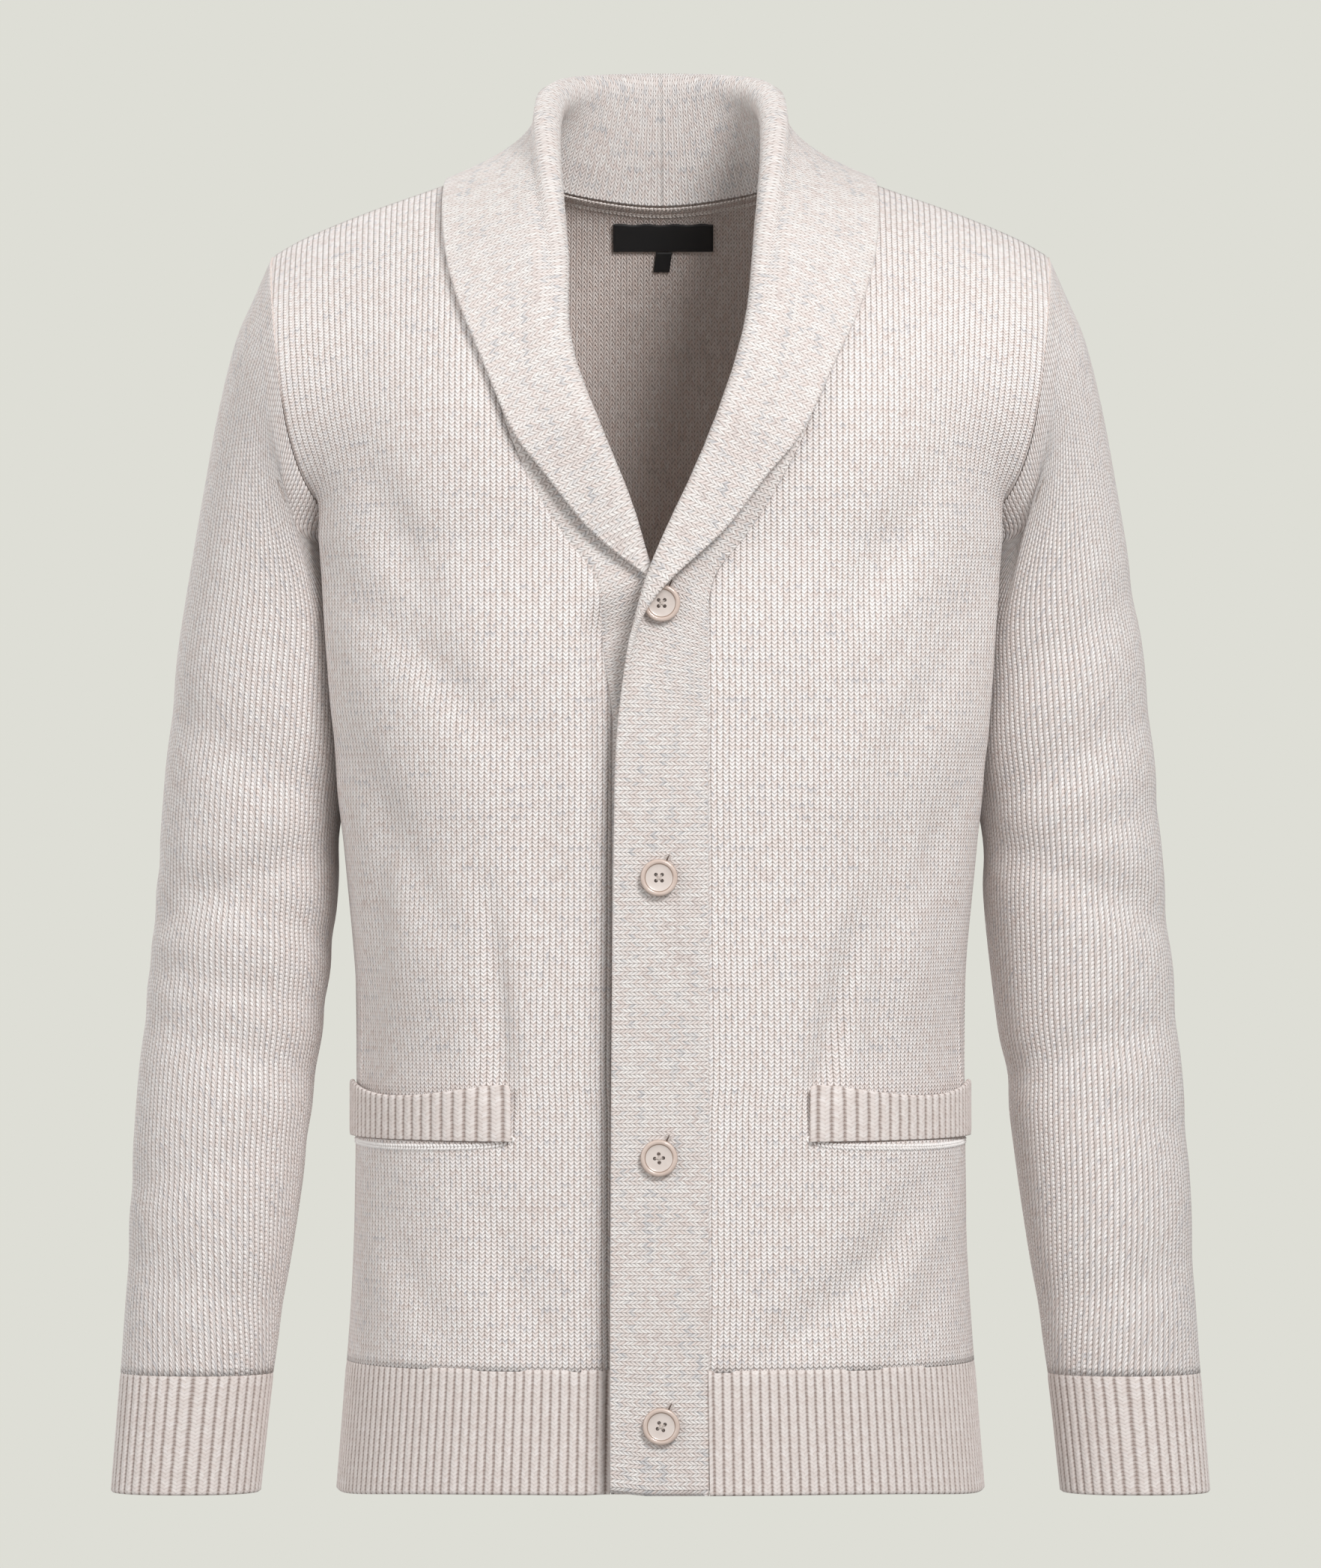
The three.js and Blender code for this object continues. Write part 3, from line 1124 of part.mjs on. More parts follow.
// Buttons: turned discs with a rim, a dished middle and four holes
const BUTTON_RADIUS = 10;
const BUTTON_HEIGHT = 3.2;
const BUTTON_FACETS = 20;
const buttonPlaces = [
  { x: 0.6, z: -243.5 },
  { x: -0.8, z: -390 },
  { x: -0.8, z: -540 },
  { x: 0.4, z: -683.5 },
];
function toManifold(geometry) {
  const bare = geometry.clone();
  bare.deleteAttribute('normal');
  bare.deleteAttribute('uv');
  const merged = BufferGeometryUtils.mergeVertices(bare, 1e-4);
  return new wasm.Manifold(new wasm.Mesh({
    numProp: 3,
    vertProperties: new Float32Array(merged.attributes.position.array),
    triVerts: new Uint32Array(merged.index.array),
  }));
}
function buttonGeometry() {
  const outline = [
    [0, 0], [8.4, 0], [9.6, 0.7], [BUTTON_RADIUS, 1.6], [9.7, 2.6], [8.9, BUTTON_HEIGHT],
    [7.9, 3], [7.1, 2.2], [0, 2],
  ].map(([radius, height]) => new THREE.Vector2(radius, height));
  let body = toManifold(new THREE.LatheGeometry(outline, BUTTON_FACETS));
  for (let k = 0; k < 4; k += 1) {
    const turn = (Math.PI * (2 * k + 1)) / 4;
    const hole = new THREE.CylinderGeometry(0.9, 0.9, 8, 8);
    hole.translate(2.2 * Math.cos(turn), 1.5, 2.2 * Math.sin(turn));
    body = body.subtract(toManifold(hole));
  }
  const mesh = body.getMesh();
  const geometry = new THREE.BufferGeometry();
  geometry.setAttribute('position', new THREE.Float32BufferAttribute(mesh.vertProperties, 3));
  geometry.setIndex(Array.from(mesh.triVerts));
  return geometry;
}
const bandRows = leftStrip.map((row) => row.slice(0, REACH_COLUMNS + ROLL_COLUMNS));
const bandFace = (x, z) => Math.min(...[-0.8, 0, 0.8].flatMap((up) => [-0.8, 0, 0.8].map((along) => (
  depthOn(bandRows, x + along * BUTTON_RADIUS, z + up * BUTTON_RADIUS)))));
buttonPlaces.forEach(({ x, z }, i) => {
  const button = addPiece(`button_${i + 1}`, buttonGeometry(), BUTTON_HORN, 0.35);
  button.rotation.x = Math.PI;
  button.position.set(x, bandFace(x, z) - 2 * SEAM_HALF_GAP, z);
});

export default group;
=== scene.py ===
# Shawl collar cardigan in heathered off-white knit, filled out with no wearer.
# The sections follow the garment as it is put together, and every size is in millimetres until
# a mesh is made.

import math

import bmesh
import bpy
import numpy as np
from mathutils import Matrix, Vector
from mathutils.bvhtree import BVHTree


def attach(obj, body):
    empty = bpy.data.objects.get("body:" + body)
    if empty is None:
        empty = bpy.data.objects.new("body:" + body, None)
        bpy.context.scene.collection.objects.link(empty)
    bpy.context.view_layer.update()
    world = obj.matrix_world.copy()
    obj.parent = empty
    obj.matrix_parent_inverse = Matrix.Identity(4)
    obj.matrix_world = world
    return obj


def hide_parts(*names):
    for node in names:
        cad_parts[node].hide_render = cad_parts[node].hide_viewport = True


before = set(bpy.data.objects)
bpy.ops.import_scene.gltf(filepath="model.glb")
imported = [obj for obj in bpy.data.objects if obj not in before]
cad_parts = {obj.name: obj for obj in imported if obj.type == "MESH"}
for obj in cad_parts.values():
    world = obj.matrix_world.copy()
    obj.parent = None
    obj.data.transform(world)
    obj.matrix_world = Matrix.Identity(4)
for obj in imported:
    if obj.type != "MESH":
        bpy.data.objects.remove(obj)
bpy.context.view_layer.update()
MM = 0.001


# Camera: level with the middle of the picture and five metres in front of the garment. One pixel
# of the 1764 x 2094 picture is 0.41 mm there.
CAMERA_DISTANCE = 5000
CAMERA_HEIGHT = -340
PIXEL = 0.41
PICTURE_HEIGHT = 2094
SENSOR = 36

camera_data = bpy.data.cameras.new("camera")
camera_data.sensor_width = SENSOR
camera_data.lens = SENSOR * CAMERA_DISTANCE / (PIXEL * PICTURE_HEIGHT)
camera = bpy.data.objects.new("camera", camera_data)
camera.location = (0, -CAMERA_DISTANCE * MM, CAMERA_HEIGHT * MM)
camera.rotation_euler = (math.pi / 2, 0, 0)
bpy.context.collection.objects.link(camera)
bpy.context.scene.camera = camera


# Body form: the panels lie on one round section that changes with height, drawn in where the
# sleeves press on the sides. Its first rows give the girth, and the sleeve's rows what presses.
SIDE_SEAM_Y = 12
ARMPIT_Z = -208
SHOULDER_Z = -51
BODY_POWER = 2 / 2.3
SLEEVE_CLEARANCE = 1.8
PRESS_SOFTNESS = 3.5


def table(names, *rows):
    """Columns by name. The first column is the one that the others are followed along."""
    return dict(zip(names.split(), np.array(rows, float).T))


def track(rows, name, at):
    """A smooth line through one column of a table."""
    key = next(iter(rows.values()))
    value = rows[name]
    slope = np.empty_like(value)
    slope[1:-1] = (value[2:] - value[:-2]) / (key[2:] - key[:-2])
    slope[0] = (value[1] - value[0]) / (key[1] - key[0])
    slope[-1] = (value[-1] - value[-2]) / (key[-1] - key[-2])
    at = np.clip(at, key[0], key[-1])
    k = np.clip(np.searchsorted(key, at, side="right") - 1, 0, len(key) - 2)
    span = key[k + 1] - key[k]
    t = (at - key[k]) / span
    return (
        (2 * t**3 - 3 * t**2 + 1) * value[k]
        + (t**3 - 2 * t**2 + t) * span * slope[k]
        + (3 * t**2 - 2 * t**3) * value[k + 1]
        + (t**3 - t**2) * span * slope[k + 1]
    )


def mix(a, b, t):
    return a + (b - a) * t


def ease(low, high, value):
    t = np.clip((value - low) / (high - low), 0, 1)
    return t * t * (3 - 2 * t)


def stack(x, y, z):
    return np.stack(np.broadcast_arrays(x, y, z), -1).astype(float)


body_sections = table(
    "z wide front back",
    (-727, 178, -117, 112),
    (-662, 172.5, -118, 109),
    (-610, 169, -119, 107),
    (-560, 167.5, -119, 103),
    (-500, 167, -120, 96),
    (-440, 168, -122, 91),
    (-376, 174.5, -125, 92),
    (-340, 181, -127, 95),
    (-264, 190, -128, 101),
    (-208, 196, -124, 105),
)
sleeve_sections = table(
    "z outer inner front back",
    (-727, 300.5, 219, -35, 29),
    (-662, 295.6, 212, -37, 40),
    (-616, 292.8, 205, -38, 51),
    (-567, 291, 197.6, -37, 60),
    (-517, 288, 191, -35, 67),
    (-468, 284, 184.5, -34, 74),
    (-420, 280, 179, -36, 80),
    (-375, 275.5, 175, -39, 84),
    (-321, 271, 168.5, -42, 86),
    (-247, 262, 168.5, -45, 86),
    (-208, 255.5, 171, -46, 84),
)
armhole_seam = table(
    "rise front_x front_y back_x back_y",
    (0, 170, 12, 170, 12),
    (0.0245, 174, -12, 170.1, 31),
    (0.0955, 182.5, -31, 173, 47),
    (0.206, 193.5, -46, 182, 58),
    (0.345, 201, -55, 191, 64),
    (0.5, 205.5, -58, 198, 66),
    (0.655, 208.5, -55, 203.5, 63),
    (0.794, 210.7, -46, 207.5, 55),
    (0.905, 212.3, -31, 210.5, 41),
    (0.9755, 213, -12, 212.5, 24),
    (1, 213, 8, 213, 8),
)
shoulder_seam = table(
    "along x y z",
    (0, 88, 14, 0),
    (0.3, 125, 15, -13.5),
    (0.6, 163, 15, -27),
    (0.85, 196, 12, -41),
    (1, 213, 8, -51),
)
back_neck = table(
    "along x y z",
    (0, 88, 14, 0),
    (0.3, 72, 38, -7),
    (0.6, 44, 54, -15),
    (1, 0, 61, -20),
    (1.4, -44, 54, -15),
)


def sleeve_sides(z):
    return (track(sleeve_sections, name, z) for name in ("outer", "inner", "front", "back"))


def half_depth(is_back, z):
    """Depth of the body from its side seam, on the back or on the front."""
    depth = np.where(is_back, track(body_sections, "back", z), track(body_sections, "front", z))
    return depth - SIDE_SEAM_Y


def pressed_by_sleeve(x, y, z):
    level = np.minimum(z, ARMPIT_Z)
    outer, inner, front, back = sleeve_sides(level)
    off = np.abs((y - (front + back) / 2) / ((back - front) / 2))
    reach = (outer - inner) / 2 * (1 - np.minimum(off, 1) ** 2.2) ** (1 / 2.2)
    limit = (outer + inner) / 2 - reach - SLEEVE_CLEARANCE
    soft = -PRESS_SOFTNESS * np.logaddexp(-x / PRESS_SOFTNESS, -limit / PRESS_SOFTNESS)
    return np.where((z < -450) | (off >= 1), x, soft)


def body_point(z, turn):
    """A point of the section: turn 0 is the front centre, 90 the side and 180 the back centre."""
    side, ahead = np.sin(np.radians(turn)), np.cos(np.radians(turn))
    y = SIDE_SEAM_Y + half_depth(ahead < 0, z) * np.abs(ahead) ** BODY_POWER
    x = pressed_by_sleeve(track(body_sections, "wide", z) * np.abs(side) ** BODY_POWER, y, z)
    return stack(x, y, z)


def turn_at_depth(y):
    back = y > SIDE_SEAM_Y
    share = np.clip((y - SIDE_SEAM_Y) / half_depth(back, ARMPIT_Z), 0, 1)
    turn = np.degrees(np.arccos(share ** (1 / BODY_POWER)))
    return np.where(back, 180 - turn, turn)


def armhole_point(rise, side):
    x = np.where(rise == 0, body_point(ARMPIT_Z, 90)[0], track(armhole_seam, side + "_x", rise))
    return stack(x, track(armhole_seam, side + "_y", rise), mix(ARMPIT_Z, SHOULDER_Z, rise))


def seam_line(rows, along):
    return stack(*(track(rows, name, along) for name in "xyz"))


def crowding(v):
    return 1.2 + 5 * np.maximum(0, 1 - v / 0.5) ** 2


def arch_over_shoulder(v):
    return 1 - (1 - v**2.3) ** 0.62


def risen(low, high, v):
    """Between a low line and a high one, with the depth in an arch over the shoulder."""
    x, z = mix(low[..., 0], high[..., 0], v), mix(low[..., 2], high[..., 2], v)
    return stack(x, mix(low[..., 1], high[..., 1], arch_over_shoulder(v)), z)


def beside_line(x, z, from_x, from_z, to_x, to_z):
    """How far along a line each point lies, from 0 to 1, and how far away from it."""
    ax, az = to_x - from_x, to_z - from_z
    t = np.clip(((x - from_x) * ax + (z - from_z) * az) / (ax * ax + az * az), 0, 1)
    return t, np.hypot(x - from_x - t * ax, z - from_z - t * az)


def steps(count, edges=(0.004, 0.01, 0.02)):
    """Even shares from 0 to 1, with a few more close to both ends for the rounded seam edges."""
    return np.unique(np.r_[np.linspace(0, 1, count), edges, 1 - np.array(edges)])


# Knitted cloth: fine merino and cotton yarn, machine knitted on a coarse gauge. It is matt, with
# soft ridges (wales) parted by grooves, chains of V stitches in them, and a heathered colour that
# changes from row to row because two shades of yarn are twisted together. The shade in the grooves,
# between the stitches and in the pin holes is painted into the colour as a brown.
def linear(hex_colour):
    """An sRGB hex value as linear red, green, blue and alpha."""
    srgb = [int(hex_colour[i : i + 2], 16) / 255 for i in (1, 3, 5)]
    return (*[c / 12.92 if c <= 0.04045 else ((c + 0.055) / 1.055) ** 2.4 for c in srgb], 1)


def add(tree, kind, *inputs, **settings):
    """A node with its settings, and its inputs in order: a value, a link or None."""
    node = tree.nodes.new(kind)
    for name, value in settings.items():
        setattr(node, name, value)
    for socket, value in zip(node.inputs, inputs):
        if isinstance(value, bpy.types.NodeSocket):
            tree.links.new(value, socket)
        elif value is not None:
            socket.default_value = value
    return node


def math_node(tree, operation, *inputs):
    return add(tree, "ShaderNodeMath", *inputs, operation=operation).outputs[0]


def ramp(tree, value, stops):
    node = add(tree, "ShaderNodeValToRGB", value)
    while len(node.color_ramp.elements) < len(stops):
        node.color_ramp.elements.new(0.5)
    for element, (at, colour) in zip(node.color_ramp.elements, stops):
        element.position = at
        element.color = linear(colour)
    return node.outputs[0]


def blend(tree, factor, a, b):
    node = add(tree, "ShaderNodeMix", data_type="RGBA", blend_type="MIX")
    for socket, value in zip([node.inputs["Factor"], node.inputs["A"], node.inputs["B"]], [factor, a, b]):
        if isinstance(value, bpy.types.NodeSocket):
            tree.links.new(value, socket)
        else:
            socket.default_value = value
    return node.outputs["Result"]


YARN = ((0.0, "#DCD8D9"), (0.22, "#F9F3F1"), (0.5, "#EDE1DC"), (0.72, "#FBF7F5"), (1.0, "#E7DAD5"))
RIB_YARN = ((0.0, "#DBD1CC"), (0.3, "#E8E0DC"), (0.6, "#DED3CE"), (1.0, "#EAE2DF"))
# colour of the painted shade in the grooves, gaps and pin holes of the body knit
GROOVE_SHADE_BROWN = "#9A867B"


def knit(
    name, wale, course, lean, relief, groove_from, depth, line, parting,
    split=False, yarn=YARN, groove=GROOVE_SHADE_BROWN,
):
    """wale and course are the stitch's width and height in mm, lean how far a V's legs climb in
    courses, relief the depth of the grooves in mm, and groove_from where a groove begins between
    the wale's middle, 0, and its edge, 1. split parts each V down its middle too. The grooves, the
    gaps between stitches and the pin holes get painted shade in the groove colour: depth is how
    dark that painted shade is, line the even part of it, and parting the painted shade between
    stitches."""
    material = bpy.data.materials.new(name)
    material.use_nodes = True
    tree = material.node_tree
    shader = tree.nodes["Principled BSDF"]
    cloth_place = add(tree, "ShaderNodeUVMap", uv_map="cloth").outputs[0]
    place = add(tree, "ShaderNodeSeparateXYZ", cloth_place)

    def calc(operation, *inputs):
        return math_node(tree, operation, *inputs)

    def rising(value, low, high):
        node = add(tree, "ShaderNodeMapRange", value, low, high, 0.0, 1.0, interpolation_type="SMOOTHSTEP")
        return node.outputs[0]

    # yarn wanders a little, so no row is quite straight
    wander = add(tree, "ShaderNodeTexNoise", cloth_place, None, 260.0, 2.0).outputs[0]
    drift = calc("MULTIPLY", calc("SUBTRACT", wander, 0.5), 0.16)
    across = calc("ADD", calc("DIVIDE", place.outputs[0], wale * MM), drift)
    up = calc("ADD", calc("DIVIDE", place.outputs[1], course * MM), drift)

    # 0 in the middle of a wale and 1 at its edge; a leg of each V climbs between them
    off = calc("MULTIPLY", calc("PINGPONG", across, 0.5), 2.0)
    leg = calc("SUBTRACT", up, calc("MULTIPLY", off, lean))
    gap = calc("MULTIPLY", calc("PINGPONG", leg, 0.5), 2.0)
    side = calc("ABSOLUTE", calc("SUBTRACT", calc("MULTIPLY", off, 2.0), 1.0)) if split else off
    valley = rising(side, groove_from, 1.0)
    between = rising(gap, 0.55, 1.0)
    round_wale = calc("SUBTRACT", 1.0, calc("POWER", side, 3.0))
    round_leg = calc("SUBTRACT", 1.0, calc("POWER", gap, 2.0))
    wale_height = calc("MULTIPLY", round_wale, 0.4 + line / 2)
    leg_height = calc("MULTIPLY", round_leg, 0.6 - line / 2)
    height = calc("ADD", wale_height, leg_height)

    # painted shade: every second stitch gets a darker pin hole in the groove, and one in the middle of its V
    every_second = calc("MULTIPLY", calc("PINGPONG", calc("MULTIPLY", leg, 0.5), 0.5), 2.0)
    dots = calc("ADD", line, calc("MULTIPLY", between, 0.6))
    dots = calc("ADD", dots, calc("MULTIPLY", every_second, 0.2))
    middle = rising(off, 0.3, 0.0)
    pin = calc("MULTIPLY", calc("MULTIPLY", middle, between), 0.4)
    dark = calc("ADD", calc("MULTIPLY", valley, dots), calc("MULTIPLY", between, parting))
    dark = calc("MULTIPLY", calc("MINIMUM", calc("MAXIMUM", dark, pin), 1.0), depth)

    # two shades of yarn are twisted together: streaks along a row, and a shade for each stitch
    row = calc("FLOOR", leg)
    half_stitch = calc("FLOOR", calc("MULTIPLY", across, 2.0))
    row_place = calc("MULTIPLY", row, 0.77)
    streak_place = add(tree, "ShaderNodeCombineXYZ", calc("MULTIPLY", across, 0.06), row_place, 0.0).outputs[0]
    streaks = add(tree, "ShaderNodeTexNoise", streak_place, None, 1.0, 3.0, 0.6).outputs[0]
    speck_place = add(tree, "ShaderNodeCombineXYZ", half_stitch, row, 0.0).outputs[0]
    speck = add(tree, "ShaderNodeTexWhiteNoise", speck_place).outputs[0]
    shade = calc("ADD", calc("MULTIPLY", streaks, 0.7), calc("MULTIPLY", speck, 0.3))
    spread = add(tree, "ShaderNodeMapRange", shade, 0.3, 0.7, 0.0, 1.0).outputs[0]
    cloth = ramp(tree, spread, yarn)
    # the painted shade of grooves, gaps and pin holes darkens the yarn's colour towards the groove colour
    shader_colour = blend(tree, dark, cloth, linear(groove))
    tree.links.new(shader_colour, shader.inputs["Base Color"])

    # loose fibres blur the stitches a little
    fuzz = add(tree, "ShaderNodeTexNoise", cloth_place, None, 2600.0, 2.0).outputs[0]
    rough = calc("ADD", height, calc("MULTIPLY", fuzz, 0.16))
    bump = add(tree, "ShaderNodeBump")
    bump.inputs["Strength"].default_value = 1.0
    bump.inputs["Distance"].default_value = relief * MM
    tree.links.new(rough, bump.inputs["Height"])
    tree.links.new(bump.outputs[0], shader.inputs["Normal"])
    shader.inputs["Roughness"].default_value = 0.92
    shader.inputs["Specular IOR Level"].default_value = 0.2
    shader.inputs["Sheen Weight"].default_value = 0.15
    shader.inputs["Sheen Roughness"].default_value = 0.5
    return material


BODY_WALE = 3.3
BODY_COURSE = 2.1
REVERSE_YARN = ((0.0, "#E2D6D0"), (0.3, "#FAEFE9"), (0.6, "#EEDDD5"), (1.0, "#FDF4EF"))
body_knit = knit(
    "merino_cotton_chunky_knit", BODY_WALE, BODY_COURSE, lean=0.7, relief=1.05, groove_from=0.66,
    depth=0.95, line=0.38, parting=0.2,
)
# its groove colour is painted shade for the grooves and holes of the reverse face
reverse_knit = knit(
    "merino_cotton_knit_reverse", wale=3.2, course=2.6, lean=1.0, relief=0.7, groove_from=0.5,
    depth=0.75, line=0.1, parting=0.5, split=True, yarn=REVERSE_YARN, groove="#8C766B",
)
jersey = [body_knit, reverse_knit]


# A panel is a wall: a grid of outer points, the same grid a thickness behind it, and the rim
# between them. Its edges are turned in a little, as a linked seam draws them.
def grid_normals(grid, at, outward, around=False):
    """Unit normals of a grid of points, on the side where the one at a given place faces outward."""
    if around:
        across = np.roll(grid, -1, 1) - np.roll(grid, 1, 1)
    else:
        across = np.gradient(grid, axis=1)
    along = np.gradient(grid, axis=0)
    normal = np.cross(across, along)
    normal /= np.maximum(np.linalg.norm(normal, axis=-1, keepdims=True), 1e-9)
    return normal if np.dot(normal[at], outward) > 0 else -normal


def distances(grid, axis):
    """Length along the grid from its first row or column, at every point."""
    step = np.linalg.norm(np.diff(grid, axis=axis), axis=-1)
    start = np.zeros_like(np.take(step, [0], axis))
    return np.concatenate([start, np.cumsum(step, axis)], axis)


SEAM_TURN_IN = 0.9
SEAM_TURN_WIDTH = 1.7


def edge_distances(grid):
    """How far each point lies from each edge of the grid."""
    across, up = distances(grid, 1), distances(grid, 0)
    return {"left": across, "right": across[:, -1:] - across, "top": up[-1:] - up, "foot": up}


def seam_dip(grid, sides=("left", "right")):
    """How far the linked edges are drawn in."""
    away = edge_distances(grid)
    return sum(SEAM_TURN_IN * np.exp(-((away[side] / SEAM_TURN_WIDTH) ** 2)) for side in sides)


def wall_object(name, outer, inner, uv, materials, around=False, is_open=None):
    """A closed wall. The outer face takes the first material, the inner face and rim the second."""
    rows, cols = outer.shape[:2]
    cells = cols if around else cols - 1
    r, c = np.mgrid[0 : rows - 1, 0:cells]
    kept = np.ones_like(r, bool) if is_open is None else ~is_open
    quads, layers, corners, on_rim = [], [], [], []

    def at(layer, i, j):
        return layer * rows * cols + i * cols + j % cols

    def face(mask, *points):
        quads.append(np.stack([at(*p)[mask] for p in points], -1))
        corners.append(np.stack([np.stack([p[1], p[2]], -1)[mask] for p in points], 1))
        layers.append(np.full(mask.sum(), 0 if all(p[0] == 0 for p in points) else 1))
        on_rim.append(np.full(mask.sum(), len({p[0] for p in points}) == 2))

    face(kept, (0, r, c), (0, r, c + 1), (0, r + 1, c + 1), (0, r + 1, c))
    face(kept, (1, r, c), (1, r + 1, c), (1, r + 1, c + 1), (1, r, c + 1))
    padded = np.zeros((rows + 1, cells + 2), bool)
    padded[1:-1, 1:-1] = kept
    if around:
        padded[:, 0], padded[:, -1] = padded[:, -2], padded[:, 1]
    face(kept & ~padded[:-2, 1:-1], (0, r, c + 1), (0, r, c), (1, r, c), (1, r, c + 1))
    face(kept & ~padded[2:, 1:-1], (0, r + 1, c), (0, r + 1, c + 1), (1, r + 1, c + 1), (1, r + 1, c))
    face(kept & ~padded[1:-1, :-2], (0, r, c), (0, r + 1, c), (1, r + 1, c), (1, r, c))
    face(kept & ~padded[1:-1, 2:], (0, r + 1, c + 1), (0, r, c + 1), (1, r, c + 1), (1, r + 1, c + 1))

    quads, layers, corners = np.concatenate(quads), np.concatenate(layers), np.concatenate(corners)
    points = np.concatenate([outer.reshape(-1, 3), inner.reshape(-1, 3)]) * MM
    first = points[quads[0]]
    out = outer.reshape(-1, 3)[quads[0][0]] - inner.reshape(-1, 3)[quads[0][0]]
    if np.dot(np.cross(first[1] - first[0], first[2] - first[0]), out) < 0:
        quads, corners = quads[:, ::-1], corners[:, ::-1]

    mesh = bpy.data.meshes.new(name)
    mesh.vertices.add(len(points))
    mesh.vertices.foreach_set("co", points.ravel())
    mesh.loops.add(quads.size)
    mesh.loops.foreach_set("vertex_index", quads.ravel().astype(np.int32))
    mesh.polygons.add(len(quads))
    mesh.polygons.foreach_set("loop_start", (np.arange(len(quads)) * 4).astype(np.int32))
    mesh.polygons.foreach_set("material_index", layers.astype(np.int32))
    mesh.polygons.foreach_set("use_smooth", ~np.concatenate(on_rim))
    layer = mesh.uv_layers.new(name="cloth")
    layer.data.foreach_set("uv", (uv[corners[..., 0], corners[..., 1]] * MM).ravel())
    mesh.update(calc_edges=True)
    mesh.validate()
    used = np.unique(quads)
    if len(used) < len(points):
        loose = bmesh.new()
        loose.from_mesh(mesh)
        bmesh.ops.delete(loose, geom=[v for v in loose.verts if not v.link_faces], context="VERTS")
        loose.to_mesh(mesh)
        loose.free()
    for material in materials:
        mesh.materials.append(material)
    piece = bpy.data.objects.new(name, mesh)
    bpy.context.collection.objects.link(piece)
    return piece


def wear(piece, node):
    """Attaches a cloth piece to the root and hides the solid it stands for."""
    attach(piece, "root")
    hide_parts(node)


# Back: one flat piece of jersey, hung from the shoulder and back neck seams.
BODY_WALL = 2.5
RIB_TOP_Z = -655
BODY_ROW = 4.5
YOKE_ROWS = 64

body_levels = np.linspace(RIB_TOP_Z, ARMPIT_Z, int((ARMPIT_Z - RIB_TOP_Z) / BODY_ROW))
yoke_steps = np.arange(1, YOKE_ROWS + 1) / YOKE_ROWS
yoke_shares = mix(yoke_steps, (1 - np.cos(np.pi * yoke_steps)) / 2, 0.5)


def back_body(z, u):
    return body_point(z, mix(180, 90, u))


def back_yoke(v, u):
    armhole = armhole_point(v, "back")
    last = turn_at_depth(np.where(v < 0.5, armhole[..., 1], armhole_point(0.5, "back")[1]))
    neck = seam_line(back_neck, 1 - np.minimum(u, 0.4) / 0.4)
    shoulder = seam_line(shoulder_seam, (np.maximum(u, 0.4) - 0.4) / 0.6)
    high = np.where((u < 0.4)[..., None], neck, shoulder)

    def ruled(share, top):
        low = body_point(ARMPIT_Z, mix(180, 90, share) + (last - 90) * share ** crowding(v))
        return risen(low, top, v)

    end = ruled(np.ones_like(u), seam_line(shoulder_seam, np.ones_like(u)))
    return ruled(u, high) + (armhole - end) * (u**5)[..., None]


def soft_folds(grid, normals, folds):
    """Sinks long soft troughs into a face: each row is a line with a depth and a half width."""
    sunk = np.zeros(grid.shape[:2])
    for *line, depth, width in folds:
        t, away = beside_line(grid[..., 0], grid[..., 2], *line)
        sunk += depth * np.sin(np.pi * np.clip(0.12 + 0.8 * t, 0, 1)) * np.exp(-((away / width) ** 2))
    return grid - normals * sunk[..., None]


# from x, from z, to x, to z, depth, half width
back_folds = [
    (-150, -250, -40, -330, 3.0, 20),
    (150, -235, 60, -300, 2.6, 18),
    (-140, -420, 20, -470, 3.4, 22),
    (148, -400, -10, -440, 2.6, 18),
    (-120, -560, 40, -590, 2.2, 20),
    (60, -100, 20, -190, 2.0, 22),
]
half_shares = steps(74)
u_low, z_low = np.meshgrid(half_shares, body_levels)
u_high, v_high = np.meshgrid(half_shares, yoke_shares)
half_back = np.concatenate([back_body(z_low, u_low), back_yoke(v_high, u_high)])
MIRROR = np.array([-1, 1, 1])
back_grid = np.concatenate([half_back[:, :0:-1], half_back * MIRROR], 1)
middle = back_grid.shape[1] // 2
back_normals = grid_normals(back_grid, (10, middle), (0, 1, 0))
across = distances(back_grid, 1)
back_uv = np.stack([across[:, middle : middle + 1] - across, distances(back_grid, 0)], -1)
back_creased = soft_folds(back_grid, back_normals, back_folds)
back_face = back_creased - back_normals * seam_dip(back_grid)[..., None]
back_panel = wall_object("back_panel", back_face, back_creased - back_normals * BODY_WALL, back_uv, jersey)
wear(back_panel, "back")


# Fronts: two pieces of jersey, each with a slit for its pocket. The cloth over the slit is sunk
# by the hand that goes in, and the cloth under it stands out over the bag.
HEM_FRONT_Z = -721
HEM_SIDE_Z = -726
WELT_SEAM_Z = -532
WELT_TOP_Z = -501
SLIT_TOP_Z = -526
BAG_BOTTOM_Z = -640
POCKET_FROM = 0.205
POCKET_TO = 0.87
POCKET_RECESS = 5.6
POCKET_BULGE = 2.5
UNDERLAP_SHIFT = 6
HIDDEN_SHIFT = 0.5
UNDERLAP_DEPTH = 3.8

neck_seam = table(
    "z x",
    (-727, 26),
    (-340, 25.4),
    (-262, 25.2),
    (-238, 26.6),
    (-225, 31.4),
    (-207, 45.6),
    (-186, 59.4),
    (-151, 77.6),
    (-120, 87),
    (-90, 91),
    (-50, 92),
    (-20, 90.5),
    (0, 88),
)
front_folds = table(
    "number from_x from_z to_x to_z depth width",
    (1, 178, -230, 95, -300, 3.5, 17),
    (2, 168, -330, 90, -395, 2.5, 18),
    (3, 92, -500, 104, -420, 2.6, 10),
    (4, 150, -560, 84, -625, 2.5, 17),
)


